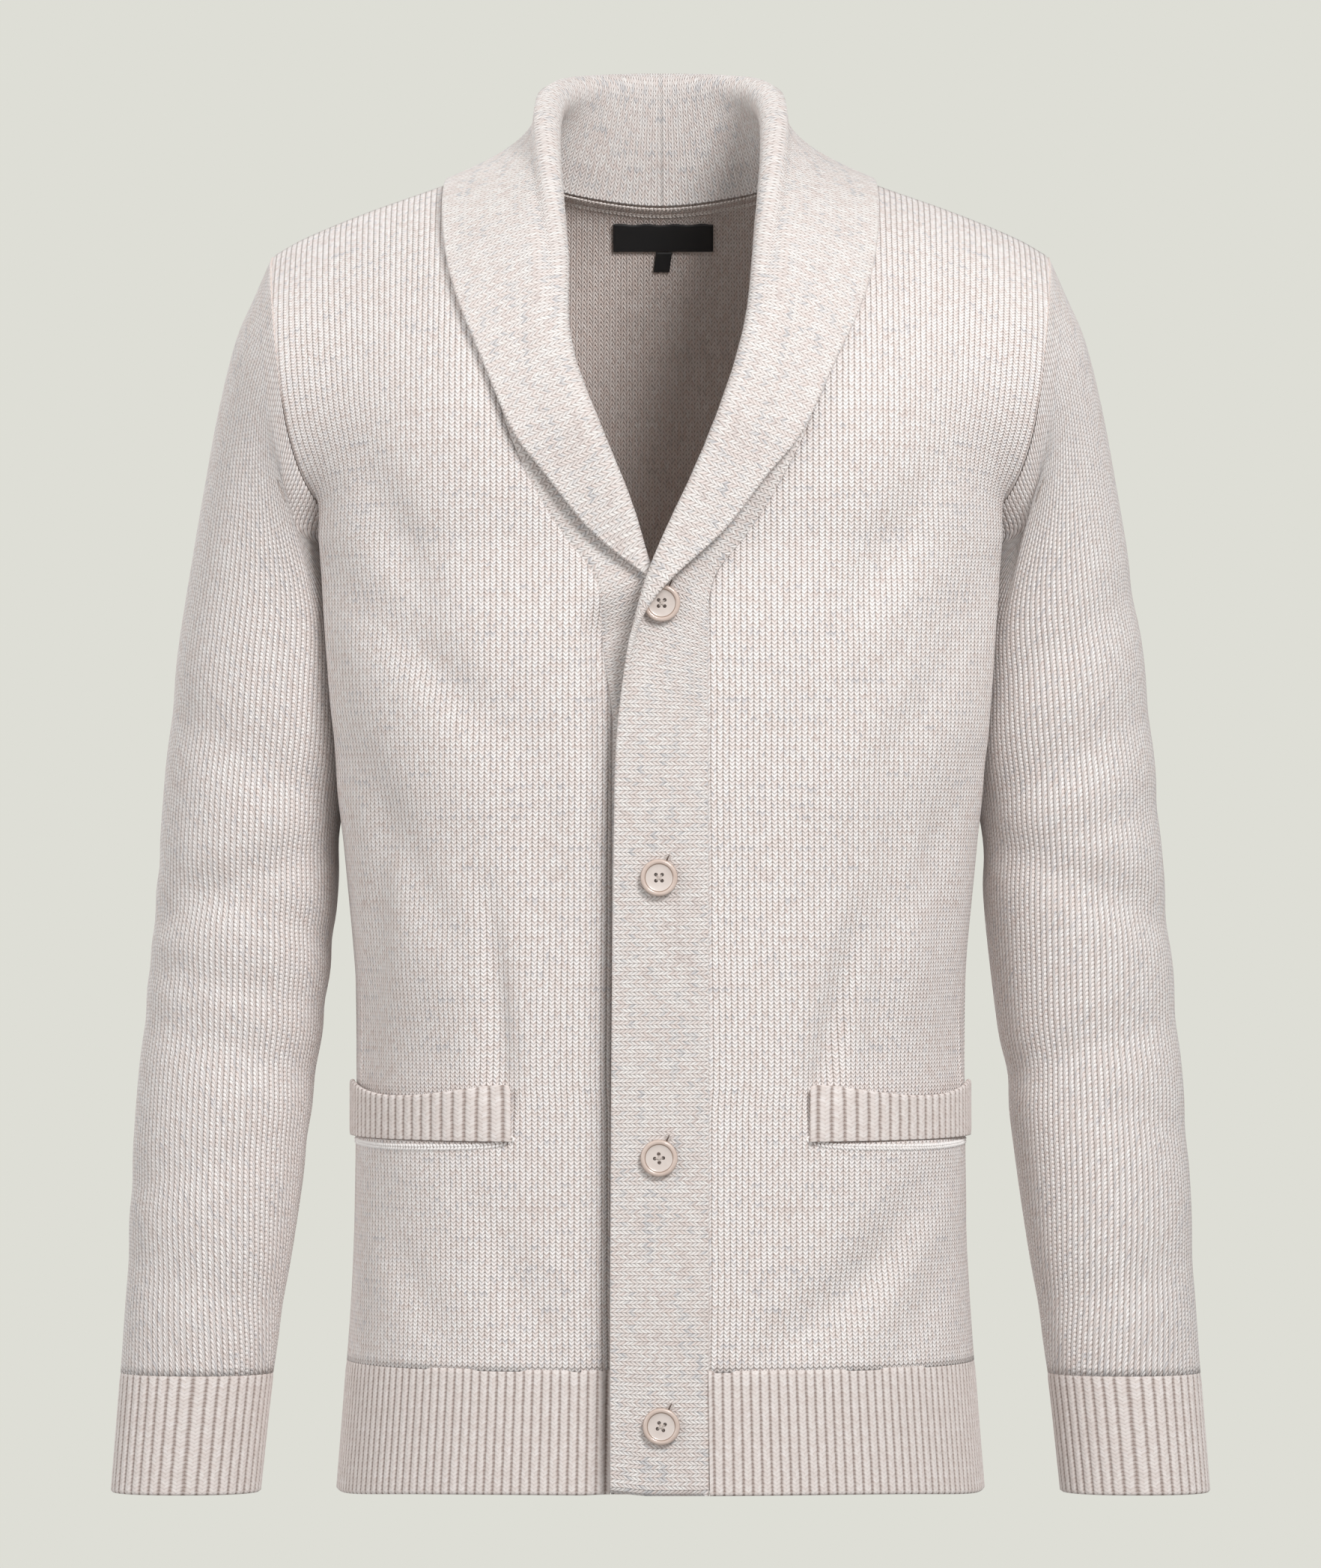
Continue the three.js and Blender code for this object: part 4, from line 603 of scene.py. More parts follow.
def folded(p):
    x, y, z = p[..., 0], p[..., 1], p[..., 2]
    inward = np.zeros_like(x)
    for *line, depth, width in zip(*list(front_folds.values())[1:]):
        t, away = beside_line(x, z, *line)
        inward += depth * (1 - 0.7 * t) * np.exp(-((away / width) ** 2))
    return stack(x, y + inward * (1 - ease(-45, 5, y)), z)


def turn_at_width(z, x):
    low, high = np.zeros_like(z, float), np.full_like(z, 60, float)
    for _ in range(30):
        half = (low + high) / 2
        less = body_point(z, half)[..., 0] < x
        low, high = np.where(less, half, low), np.where(less, high, half)
    return (low + high) / 2


def turn_share(u):
    return u**0.92


def front_body(z, u):
    first = turn_at_width(z, track(neck_seam, "x", z))
    return folded(body_point(z, mix(first, 90, turn_share(u))))


def front_yoke(v, u):
    neck_z = ARMPIT_Z * (1 - v)
    neck_x = track(neck_seam, "x", neck_z)
    armhole = armhole_point(v, "front")
    pit = np.full_like(v, ARMPIT_Z)
    first = turn_at_width(pit, track(neck_seam, "x", pit))
    last = turn_at_depth(np.where(v < 0.5, armhole[..., 1], armhole_point(0.5, "front")[1]))

    def ruled(share):
        turn = mix(first, 90, turn_share(share)) - (90 - last) * share ** crowding(v)
        return risen(folded(body_point(pit, turn)), seam_line(shoulder_seam, share), v)

    neck_end, arm_end = ruled(np.zeros_like(u)), ruled(np.ones_like(u))
    neck_share, arm_share = ((1 - u) ** 1.6)[..., None], (u**4)[..., None]
    to_neck = stack(neck_x - neck_end[..., 0], 0, neck_z - neck_end[..., 2])
    return ruled(u) + to_neck * neck_share + (armhole - arm_end) * arm_share


def underlap(p):
    """The right front and band: the mirror image, moved out and sunk under the left band."""
    near = (1 - ease(48, 120, np.abs(p[..., 0]))) * (1 - ease(-120, -50, p[..., 2]))
    shift = mix(HIDDEN_SHIFT, UNDERLAP_SHIFT, ease(-310, -258, p[..., 2]))
    return stack(-p[..., 0] - shift * near, p[..., 1] + UNDERLAP_DEPTH * near, p[..., 2])


def pocket_share(u):
    return np.sin(np.pi * np.clip((u - POCKET_FROM) / (POCKET_TO - POCKET_FROM), 0, 1)) ** 0.6


def pocket_inward(z, u):
    sunk = POCKET_RECESS * (1 - ease(-496, -425, z))
    raised = -POCKET_BULGE * ease(BAG_BOTTOM_Z - 12, -560, z)
    return pocket_share(u) * np.where(z > WELT_SEAM_Z + 1, sunk, raised)


# creases of each front: from x, from z, to x, to z, depth, half width
left_creases = [
    (150, -170, 96, -262, 3.4, 14),
    (166, -255, 112, -352, 3.2, 13),
    (172, -330, 128, -420, 2.4, 11),
    (84, -512, 110, -400, 5.0, 8),
    (112, -498, 130, -345, 3.2, 10),
    (160, -490, 146, -330, 3.0, 10),
    (140, -560, 92, -640, 3.2, 12),
    (118, -596, 52, -652, 2.6, 11),
    (160, -585, 130, -650, 2.2, 10),
    (62, -290, 50, -430, 1.8, 13),
]
right_creases = [
    (160, -165, 120, -262, 4.0, 14),
    (150, -250, 86, -318, 3.0, 13),
    (170, -315, 112, -430, 3.2, 12),
    (82, -512, 94, -395, 5.2, 7),
    (160, -500, 150, -352, 3.4, 8),
    (72, -300, 58, -430, 2.2, 15),
    (104, -556, 60, -645, 2.6, 13),
    (150, -580, 112, -648, 2.4, 11),
]
front_shares = np.unique(np.r_[steps(66), POCKET_FROM, POCKET_TO])
front_levels = np.unique(np.r_[body_levels, WELT_SEAM_Z, SLIT_TOP_Z])
front_levels = front_levels[~((front_levels > WELT_SEAM_Z) & (front_levels < SLIT_TOP_Z))]
u_low, z_low = np.meshgrid(front_shares, front_levels)
u_high, v_high = np.meshgrid(front_shares, yoke_shares)
left_plain = np.concatenate([front_body(z_low, u_low), front_yoke(v_high, u_high)])
pocket_depth = np.zeros(left_plain.shape[:2])
pocket_depth[: len(front_levels)] = pocket_inward(z_low, u_low)
slit = np.zeros((left_plain.shape[0] - 1, left_plain.shape[1] - 1), bool)
slit_row = np.searchsorted(front_levels, WELT_SEAM_Z)
slit[slit_row, np.searchsorted(front_shares, POCKET_FROM) : np.searchsorted(front_shares, POCKET_TO)] = True
WALE_LINE_X = 96
TURN_IN_DEPTH = 9
TURN_IN_WIDTH = 17
TURN_IN_ENDS = (-262, -236)


def cloth_uv(grid):
    """Wales run straight up from a line in the middle of the panel, and seams cut across them."""
    across = distances(grid, 1)
    start = [np.interp(WALE_LINE_X, np.abs(row[:, 0]), length) for row, length in zip(grid, across)]
    up = distances(grid, 0)
    line = np.searchsorted(np.abs(grid[0, :, 0]), WALE_LINE_X)
    return np.stack([across - np.array(start)[:, None], mix(up, up[:, line : line + 1], 0.7)], -1)


# the left side is laid out as it stands, and the right one is its mirror image under the left band
placings = {"left": np.asarray, "right": underlap}
for side, grid, creases in (
    ("left", left_plain, left_creases),
    ("right", underlap(left_plain), [(-a, b, -c, d, e, f) for a, b, c, d, e, f in right_creases]),
):
    if side == "right":
        turned_in = TURN_IN_DEPTH * (1 - ease(0, TURN_IN_WIDTH, distances(grid, 1)))
        grid = grid + stack(0, turned_in * (1 - ease(*TURN_IN_ENDS, grid[..., 2])), 0)
    normals = grid_normals(grid, (20, 5), (0, -1, 0))
    carried = soft_folds(grid - normals * pocket_depth[..., None], normals, creases)
    face = carried - normals * seam_dip(grid)[..., None]
    inner = carried - normals * BODY_WALL
    panel = wall_object(f"front_{side}_panel", face, inner, cloth_uv(grid), jersey, is_open=slit)
    wear(panel, f"front_{side}")


# Sleeves: each is a flat piece of the same jersey, closed by an underarm seam and set into the
# armhole. It bends a little forward, with soft folds at the elbow and above the cuff.
CUFF_TOP_Z = -662
CUFF_BOTTOM_Z = -727
SLEEVE_POWER = 2 / 2.2
SLEEVE_COLUMNS = 96
ROWS_BETWEEN_RINGS = 9

cap_rings = table(
    "ring outer_x outer_z inner_x inner_z front back bow",
    (1, 222, -73, 171.4, -214.5, -57, 66, 1),
    (2, 232.5, -97, 170, -221, -55, 72, 0.78),
    (3, 242, -134, 169.4, -231, -52, 77, 0.52),
    (4, 250, -176, 168.9, -244, -49, 81, 0.3),
    (5, 258, -222, 168.5, -262, -46, 84, 0.14),
    (6, 265.5, -270, 168.5, -290, -44, 86, 0.04),
)
sleeve_levels = [-326, -375, -420, -468, -517, -567, -616, CUFF_TOP_Z]
# height at the outer side, drop across, depth, half width, where round the sleeve it is deepest
sleeve_folds = {
    "left": [
        (-300, 55, 3, 16, 0.0), (-415, -45, 4, 15, 0.2), (-468, 30, 3, 14, -0.3), (-600, 25, 2, 15, 0.0),
        (-352, 30, 1.8, 11, 0.4), (-530, -30, 1.6, 13, 0.5), (-236, 60, 2.0, 14, 0.6),
    ],
    "right": [
        (-300, 55, 3, 16, 0.0), (-415, -45, 4, 15, 0.2), (-468, 30, 3, 14, -0.3), (-600, 25, 2, 15, 0.0),
        (-385, 40, 2.2, 10, -0.5), (-440, 20, 2.4, 10, 0.3), (-560, -26, 1.6, 12, 0.5),
    ],
}


def side_x(y, z):
    level = np.minimum(z, ARMPIT_Z)
    share = np.clip((y - SIDE_SEAM_Y) / half_depth(y > SIDE_SEAM_Y, level), 0, 1)
    turn = np.arccos(share ** (1 / BODY_POWER))
    x = pressed_by_sleeve(track(body_sections, "wide", level) * np.sin(turn) ** BODY_POWER, y, level)
    return x + 30 * np.clip((z - ARMPIT_Z) / (SHOULDER_Z - ARMPIT_Z), 0, 0.5)


def sleeve_ring(outer_x, outer_z, inner_x, inner_z, front, back, turn, clear=SLEEVE_CLEARANCE):
    """turn goes from pi at the underarm down to -pi, by the front first."""
    across = np.sign(np.cos(turn)) * np.abs(np.cos(turn)) ** SLEEVE_POWER
    y = (front + back) / 2 - np.sign(turn) * np.abs(np.sin(turn)) ** SLEEVE_POWER * (back - front) / 2
    z = mix(inner_z, outer_z, (1 + across) / 2)
    x = mix(inner_x, outer_x, (1 + across) / 2)
    limit = np.where(z > -450, side_x(y, z) + clear, x - 50)
    return stack(1.5 * np.logaddexp(x / 1.5, limit / 1.5), y, z)


def level_ring(z, turn):
    outer, inner, front, back = sleeve_sides(z)
    return sleeve_ring(outer, z, inner, z, front, back, turn)


turns = np.pi - 2 * np.pi * np.arange(SLEEVE_COLUMNS) / SLEEVE_COLUMNS
rises = (1 - np.cos(2 * np.pi * np.arange(SLEEVE_COLUMNS) / SLEEVE_COLUMNS)) / 2
on_back = np.arange(SLEEVE_COLUMNS) > SLEEVE_COLUMNS // 2
armhole_ring = np.where(on_back[:, None], armhole_point(rises, "back"), armhole_point(rises, "front"))
plain_ring = sleeve_ring(213, SHOULDER_Z, 170, ARMPIT_Z, -58, 66, turns, -80)
bow = np.maximum(armhole_ring[:, 0] - plain_ring[:, 0], 0)
rings = [armhole_ring]
for i in range(len(cap_rings["ring"])):
    row = {name: values[i] for name, values in cap_rings.items()}
    sides = (row[name] for name in ("outer_x", "outer_z", "inner_x", "inner_z", "front", "back"))
    ring = sleeve_ring(*sides, turns)
    rings.append(ring + stack(bow * row["bow"], 0, 0))
rings += [level_ring(np.full(SLEEVE_COLUMNS, float(z)), turns) for z in sleeve_levels]


def between_rings(rings, count):
    """Smooth rows through the rings, count to each gap."""
    rings = np.array(rings)
    keys = np.arange(len(rings), dtype=float)
    at = np.linspace(0, len(rings) - 1, (len(rings) - 1) * count + 1)
    flat = rings.reshape(len(rings), -1)
    rows = np.stack([track({"ring": keys, "v": flat[:, j]}, "v", at) for j in range(flat.shape[1])], 1)
    return rows.reshape(len(at), *rings.shape[1:])


sleeve_plain = between_rings(rings, ROWS_BETWEEN_RINGS)


def creased_sleeve(grid, folds):
    inward = np.zeros(grid.shape[:2])
    for height, drop, depth, width, phase in folds:
        level = height - drop * (1 - np.cos(turns)) / 2
        strength = 0.35 + 0.65 * np.abs(np.sin(turns + phase)) ** 1.5
        inward += depth * strength * np.exp(-(((grid[..., 2] - level) / width) ** 2))
    inward *= ease(2.5 * ROWS_BETWEEN_RINGS, 5 * ROWS_BETWEEN_RINGS, np.arange(len(grid)))[:, None]
    pull = grid.mean(1, keepdims=True) - grid
    pull[..., 2] = 0
    pull /= np.linalg.norm(pull, axis=-1, keepdims=True)
    return grid + pull * inward[..., None]


for side in ("left", "right"):
    grid = creased_sleeve(sleeve_plain, sleeve_folds[side])
    normals = grid_normals(grid, (60, SLEEVE_COLUMNS // 2), (1, 0, 0), around=True)
    if side == "right":
        grid, normals = grid * MIRROR, normals * MIRROR
    smooth = sleeve_plain if side == "left" else sleeve_plain * MIRROR
    along = distances(smooth, 0)
    around = distances(np.concatenate([smooth, smooth[:, :1]], 1), 1)
    around -= around[:, SLEEVE_COLUMNS // 2][:, None]
    uv = np.stack([around, np.concatenate([along, along[:, :1]], 1)], -1)
    inner = grid - normals * BODY_WALL
    sleeve = wall_object(f"sleeve_{side}_tube", grid, inner, uv, jersey, around=True)
    wear(sleeve, f"sleeve_{side}")


# Hem rib: a band of rounded ribs under the body, one piece for each front and one for the back.
# Each rib is real relief, and the first rows blend from the jersey with a zigzag start.
RIB_WALL = 2.4
RIB_RELIEF = 0.55
COLUMNS_A_RIB = 8
FRONT_RIBS = 43
HALF_BACK_RIBS = 46
RIB_PITCH = 4.7
# its groove colour is painted shade between the ribs and stitches
rib_knit = knit(
    "merino_cotton_rib_knit", RIB_PITCH, course=2.1, lean=0.8, relief=0.35, groove_from=0.5,
    depth=0.9, line=0.6, parting=0.1, yarn=RIB_YARN, groove="#8E7B73",
)
ribbing = [rib_knit, reverse_knit]


def rib_height(place, start=1.0):
    """Height of the rib face where place counts ribs; start is 0 on the zigzag's first row."""
    off = np.abs(2 * (place - np.floor(place)) - 1)
    ridge = np.sqrt(np.maximum(0, 1 - (0.98 * (1 - off)) ** 2))
    return start * RIB_RELIEF * (1.75 * ridge - 1.1)


def rounded(grid, normals, wall, sides, radius=1.0):
    """Outer and inner faces of a wall with its free edges rounded."""
    away = edge_distances(grid)
    cut = np.zeros(grid.shape[:2])
    for side in sides:
        near = np.clip(1 - away[side] / radius, 0, 1)
        cut = np.maximum(cut, radius * (1 - np.sqrt(1 - near**2)))
    return grid - normals * cut[..., None], grid - normals * (wall - cut)[..., None]


def hem_drop(y):
    return mix(HEM_FRONT_Z, HEM_SIDE_Z, ease(-118, -20, y))


def even_turns(first, last, count):
    """Turns that give even steps along the hem's section."""
    fine = np.linspace(first, last, 600)
    line = body_point(np.full_like(fine, -690), fine)
    length = np.r_[0, np.cumsum(np.linalg.norm(np.diff(line, axis=0), axis=1))]
    return np.interp(np.linspace(0, length[-1], count), length, fine), length[-1]


HEM_ROWS = np.array([0, 0.02, 0.05, 0.09, 0.16, 0.3, 0.45, 0.6, 0.75, 0.88, 0.94, 0.97, 0.985, 1])[::-1]
TUCK_UP = 1.1
TUCK_IN = 0.2
seam_turn = float(turn_at_width(np.array([-690.0]), np.array([26.0]))[0])
hem_parts = {
    "left": (seam_turn, 90, FRONT_RIBS),
    "right": (seam_turn, 90, FRONT_RIBS),
    "back": (180, 90, HALF_BACK_RIBS),
}
for side, (first, last, ribs) in hem_parts.items():
    turns_here, length = even_turns(first, last, ribs * COLUMNS_A_RIB + 1)
    drop, turn = np.meshgrid(HEM_ROWS, turns_here, indexing="ij")
    plain = body_point(mix(RIB_TOP_Z, HEM_FRONT_Z, drop), turn)
    low = hem_drop(plain[..., 1])
    plain[..., 2] = mix(RIB_TOP_Z, low, drop) + TUCK_UP * (drop == 0)
    place_along = np.broadcast_to(np.linspace(0, ribs, len(turns_here)), plain.shape[:2])
    if side == "back":
        plain = np.concatenate([plain[:, :0:-1], plain * MIRROR], 1)
        place_along = np.concatenate([-place_along[:, :0:-1], place_along], 1)
        drop = np.concatenate([drop[:, :0:-1], drop], 1)
        length *= 2
    else:
        plain = placings[side](plain)
    if side == "right":
        plain = plain + stack(0, TURN_IN_DEPTH * (1 - ease(0, TURN_IN_WIDTH, distances(plain, 1))), 0)
    at = (5, plain.shape[1] // 2)
    normals = grid_normals(plain, at, (plain[at] - [0, SIDE_SEAM_Y, 0]) * [1, 1, 0])
    zigzag = ease(0.01, 0.07, drop - 0.02 * np.abs(2 * (place_along / 2 - np.floor(place_along / 2)) - 1))
    raised = plain + normals * (rib_height(place_along, zigzag) - TUCK_IN * (drop == 0))[..., None]
    outer, _ = rounded(raised, normals, RIB_WALL, ("foot",), 1.1)
    _, inner = rounded(plain, normals, RIB_WALL, ("foot",), 1.1)
    uv = np.stack([place_along * RIB_PITCH, distances(plain, 0)], -1)
    rib = wall_object(f"hem_rib_{side}_band", outer, inner, uv, ribbing)
    wide = length * MM
    wear(rib, f"hem_rib_{side}")


# Cuffs: the same rib, drawn in round the wrist.
CUFF_RIBS = 42
CUFF_ROWS = HEM_ROWS
for side in ("left", "right"):
    columns = CUFF_RIBS * COLUMNS_A_RIB
    cuff_turns = np.pi - 2 * np.pi * np.arange(columns) / columns
    grid = np.stack([level_ring(np.full(columns, mix(CUFF_TOP_Z, CUFF_BOTTOM_Z, t)), cuff_turns) for t in CUFF_ROWS])
    normals = grid_normals(grid, (4, columns // 2), (1, 0, 0), around=True)
    place_along = np.broadcast_to(np.arange(columns) / COLUMNS_A_RIB, grid.shape[:2])
    tucked = (CUFF_ROWS == 0)[:, None]
    zigzag = ease(0.01, 0.07, CUFF_ROWS)[:, None]
    grid[..., 2] += TUCK_UP * tucked
    raised = grid + normals * (rib_height(place_along, zigzag) - TUCK_IN * tucked)[..., None]
    outer, _ = rounded(raised, normals, RIB_WALL, ("foot",), 1.1)
    _, inner = rounded(grid, normals, RIB_WALL, ("foot",), 1.1)
    uv = np.stack([place_along * RIB_PITCH, distances(grid, 0)], -1)
    uv = np.concatenate([uv, uv[:, :1] + [CUFF_RIBS * RIB_PITCH, 0]], 1)
    if side == "right":
        outer, inner = outer * MIRROR, inner * MIRROR
    cuff = wall_object(f"cuff_{side}_band", outer, inner, uv, ribbing, around=True)
    wear(cuff, f"cuff_{side}")


# Collar and band: one doubled strip on each side, close knit with its rows across it. It runs up
# the front flat, curls over at the fold line and lies back round the neck to a join at the back.
STRIP_WALL = 3
FALL_HEIGHT = 1.6
FALL_SOFTNESS = 0.8
SAG_SKEW = 0.6
LAST_CHEST_PLACE = -0.6
STRIP_FOOT_Z = -721

left_lapel = table(
    "place fold_x fold_z fold_out edge_x edge_z edge_out roll",
    (-721, -10, -721, 0, -27, -719, 0, 2.2),
    (-600, -10, -600, 0, -27, -600, 0, 2.2),
    (-340, -10, -340, 0, -24.5, -340, 0, 2.2),
    (-292, -12, -290, 0, -21, -290, 1.5, 2.2),
    (-262, -16.5, -248, 1.5, -12, -252.5, 11.4, 2.6),
    (-238, -8.5, -220, 7.5, 8, -228, 15, 2.6),
    (-218, 3, -203, 6, 31, -214, 11, 2.6),
    (-186, 18.5, -169, 4, 50, -183, 10, 3),
    (-151, 33.5, -132, 3, 79, -150, 7.5, 3.5),
)
right_lapel = table(
    "place fold_x fold_z fold_out edge_x edge_z edge_out roll",
    (-721, -10, -721, 0, -27, -719, 0, 2.2),
    (-300, -10, -300, 0, -26, -300, 0, 2.2),
    (-262, -10, -250, 0, -20, -250, 0, 2.2),
    (-238, -6, -224, 0, 0, -229, 4.5, 2.2),
    (-218, 3, -204, 0.5, 27, -215, 7, 2.4),
    (-186, 16.5, -169, 2, 48, -183, 8.5, 3),
    (-151, 32, -132, 3, 78, -150, 7.5, 3.5),
)
collar_rows = (
    (-120, 43.5, -104, -102, 90, -115, -119, 4, 8, 0),
    (-90, 48, -88, -76, 103.5, -102, -93, 4.8, 20, 2),
    (-55, 51.5, -62, -44, 115, -75, -59, 5.6, 38, 5),
    (-20, 53, -34, -4, 120, -29, -18, 6.4, 62, 9),
    (0, 52.5, -6, 24, 119, 8, -7, 7, 84, 11),
    (30, 48, 26, 44, 112, 50, -10, 7, 115, 11),
    (60, 32, 52, 52, 78, 84, -25, 6.5, 150, 8),
    (100, 0, 66, 55, 0, 92, -36, 6, 180, 6),
    (140, -32, 52, 52, -78, 84, -25, 6.5, 210, 8),
)
LAPEL_PLACES = (-721, -655, -612, -572, -532, -470, -436, -398, -360, -325, -292, -262, -236,
                -208, -202.9, -188.1, -165.1, -136.1)
chest_shares = np.linspace(0, 1, 61)
chest_levels = np.linspace(HEM_SIDE_Z - 4, ARMPIT_Z, 120)
u_low, z_low = np.meshgrid(chest_shares, chest_levels)
u_high, v_high = np.meshgrid(chest_shares, yoke_shares)
chest = np.concatenate([front_body(z_low, u_low), front_yoke(v_high, u_high)])


def surface_tree(grid):
    rows, cols = grid.shape[:2]
    r, c = np.mgrid[0 : rows - 1, 0 : cols - 1]
    first = r * cols + c
    quads = np.stack([first, first + 1, first + cols + 1, first + cols], -1).reshape(-1, 4)
    return BVHTree.FromPolygons(grid.reshape(-1, 3).tolist(), quads.tolist())


chest_tree = surface_tree(chest)
half_back_tree = surface_tree(half_back)


def depth_on(tree, x, z, side=-1):
    """Depth of a surface where a line along Y meets it, seen from one side."""
    hit = tree.ray_cast(Vector((x, side * 500, z)), Vector((0, -side, 0)))[0]
    if hit is None:
        hit = tree.find_nearest(Vector((x, side * 100, z)))[0]
    return hit.y


def chest_depth(x, z):
    inside = max(x, float(track(neck_seam, "x", z)) + 0.5)
    return depth_on(chest_tree, inside, max(z, HEM_SIDE_Z))


def lifted_off(p, height):
    """Lifts a point until it lies at least a given height over the garment's face."""
    spots = [tree.find_nearest(Vector(p)) for tree in (chest_tree, half_back_tree)]
    outward = []
    for spot, ahead in zip(spots, (-1, 1)):
        facing = 1 if spot[1].dot(Vector((0.2, ahead, 1))) > 0 else -1
        outward.append(np.array(spot[1]) * facing)
    nearness = np.array([spot[3] for spot in spots])
    share = 1 / (1 + np.exp(np.clip((nearness[0] - nearness[1]) / 4, -30, 30)))
    normal = outward[0] * share + outward[1] * (1 - share)
    normal /= np.linalg.norm(normal)
    spot = np.array(spots[0][0] if share > 0.5 else spots[1][0])
    over = float(np.dot(p - spot, normal))
    wanted = height + FALL_SOFTNESS * np.logaddexp(0, (over - height) / FALL_SOFTNESS)
    return p + normal * (wanted - over)


def strip_table(lapel):
    rows = []
    for place in LAPEL_PLACES:
        row = {name: float(track(lapel, name, place)) for name in lapel}
        fold_y = chest_depth(row["fold_x"], row["fold_z"]) - row["fold_out"]
        edge_y = chest_depth(row["edge_x"], row["edge_z"]) - row["edge_out"]
        fold = (row["fold_x"], fold_y, row["fold_z"])
        edge = (row["edge_x"], edge_y, row["edge_z"])
        rows.append((place, *fold, *edge, row["roll"], 0, 0))
    return table("place fold_x fold_y fold_z edge_x edge_y edge_z roll turn sag", *rows, *collar_rows)


def strip_row(rows, curl_from, place, shares):
    """One row of the strip from its seam to its free edge: flat reach, roll and fall."""
    at = {name: float(track(rows, name, place)) for name in rows}
    if place <= LAST_CHEST_PLACE:
        seam_x = float(track(neck_seam, "x", place))
        seam = np.array([seam_x, depth_on(chest_tree, seam_x + 0.05, place), place])
    else:
        seam = seam_line(back_neck, max(place, 0) / 100)
    turn = math.radians(at["turn"])
    roll = at["roll"]
    fold = np.array([at["fold_x"], at["fold_y"], at["fold_z"]])
    edge = np.array([at["edge_x"], at["edge_y"], at["edge_z"]])
    ahead = (fold - seam) / np.linalg.norm(fold - seam)
    out = np.array([math.sin(turn), -math.cos(turn), 0])
    out -= ahead * np.dot(out, ahead)
    out /= np.linalg.norm(out)
    curled = float(ease(curl_from, curl_from + 32, place))
    fold = fold - ahead * STRIP_WALL * curled
    edge = edge - out * STRIP_WALL * curled
    reach = np.linalg.norm(fold - seam) - roll
    centre = seam + ahead * reach + out * roll
    ex, ey = np.dot(edge - centre, ahead), np.dot(edge - centre, out)
    straight = math.sqrt(max(ex * ex + ey * ey - roll * roll, 0.01))
    curl = math.atan2(ey, ex) + math.atan2(roll, straight)
    curl = max(curl + 2 * math.pi if curl < -0.5 else curl, 0)
    aside = np.cross(ahead, out)
    drift = np.dot(edge - centre, aside)
    arc = curl * roll
    row = []
    for s in shares * (reach + arc + straight):
        if s <= reach:
            row.append(seam + ahead * s)
        elif s <= reach + arc:
            a = (s - reach) / roll
            row.append(centre + ahead * roll * math.sin(a) - out * roll * math.cos(a))
        else:
            rest = s - reach - arc
            p = centre + ahead * (roll * math.sin(curl) + rest * math.cos(curl))
            p = p + out * (rest * math.sin(curl) - roll * math.cos(curl)) + aside * drift * rest / straight
            dropped = at["sag"] * math.sin(math.pi * min(rest / straight, 1) ** SAG_SKEW)
            p = p - (ahead * math.sin(curl) - out * math.cos(curl)) * dropped
            if curled > 0:
                p = mix(p, lifted_off(p, FALL_HEIGHT), curled * min(max(rest / 8, 0), 1))
            row.append(p)
    return np.array(row)


BAND_YARN = ((0.0, "#CFCDCE"), (0.25, "#ECE7E4"), (0.5, "#E2D6D1"), (0.75, "#F0ECE9"), (1.0, "#DACFCB"))
# its groove colour is painted shade between the stitches
band_knit = knit(
    "merino_cotton_close_knit", wale=4.4, course=2.4, lean=1.0, relief=0.7, groove_from=0.5,
    depth=0.7, line=0.15, parting=0.3, split=True, yarn=BAND_YARN, groove="#A59389",
)
strip_shares = np.unique(np.r_[np.linspace(0, 1, 46), 0.004, 0.01, 0.02, 0.97, 0.98, 0.99, 0.996])
strip_places = np.r_[np.linspace(STRIP_FOOT_Z, 0, 250), np.linspace(0, 112, 42)[1:]]
CENTRE_BACK = 100
FIRST_CURLED_PLACE = -330
SMOOTHING_ROWS = 9


def smoothed(grid, width):
    """Evens a grid out along its rows, with its ends kept."""
    half = width // 2
    padded = np.concatenate([2 * grid[:1] - grid[half:0:-1], grid, 2 * grid[-1:] - grid[-2 : -half - 2 : -1]])
    return sum(padded[k : k + len(grid)] for k in range(width)) / width


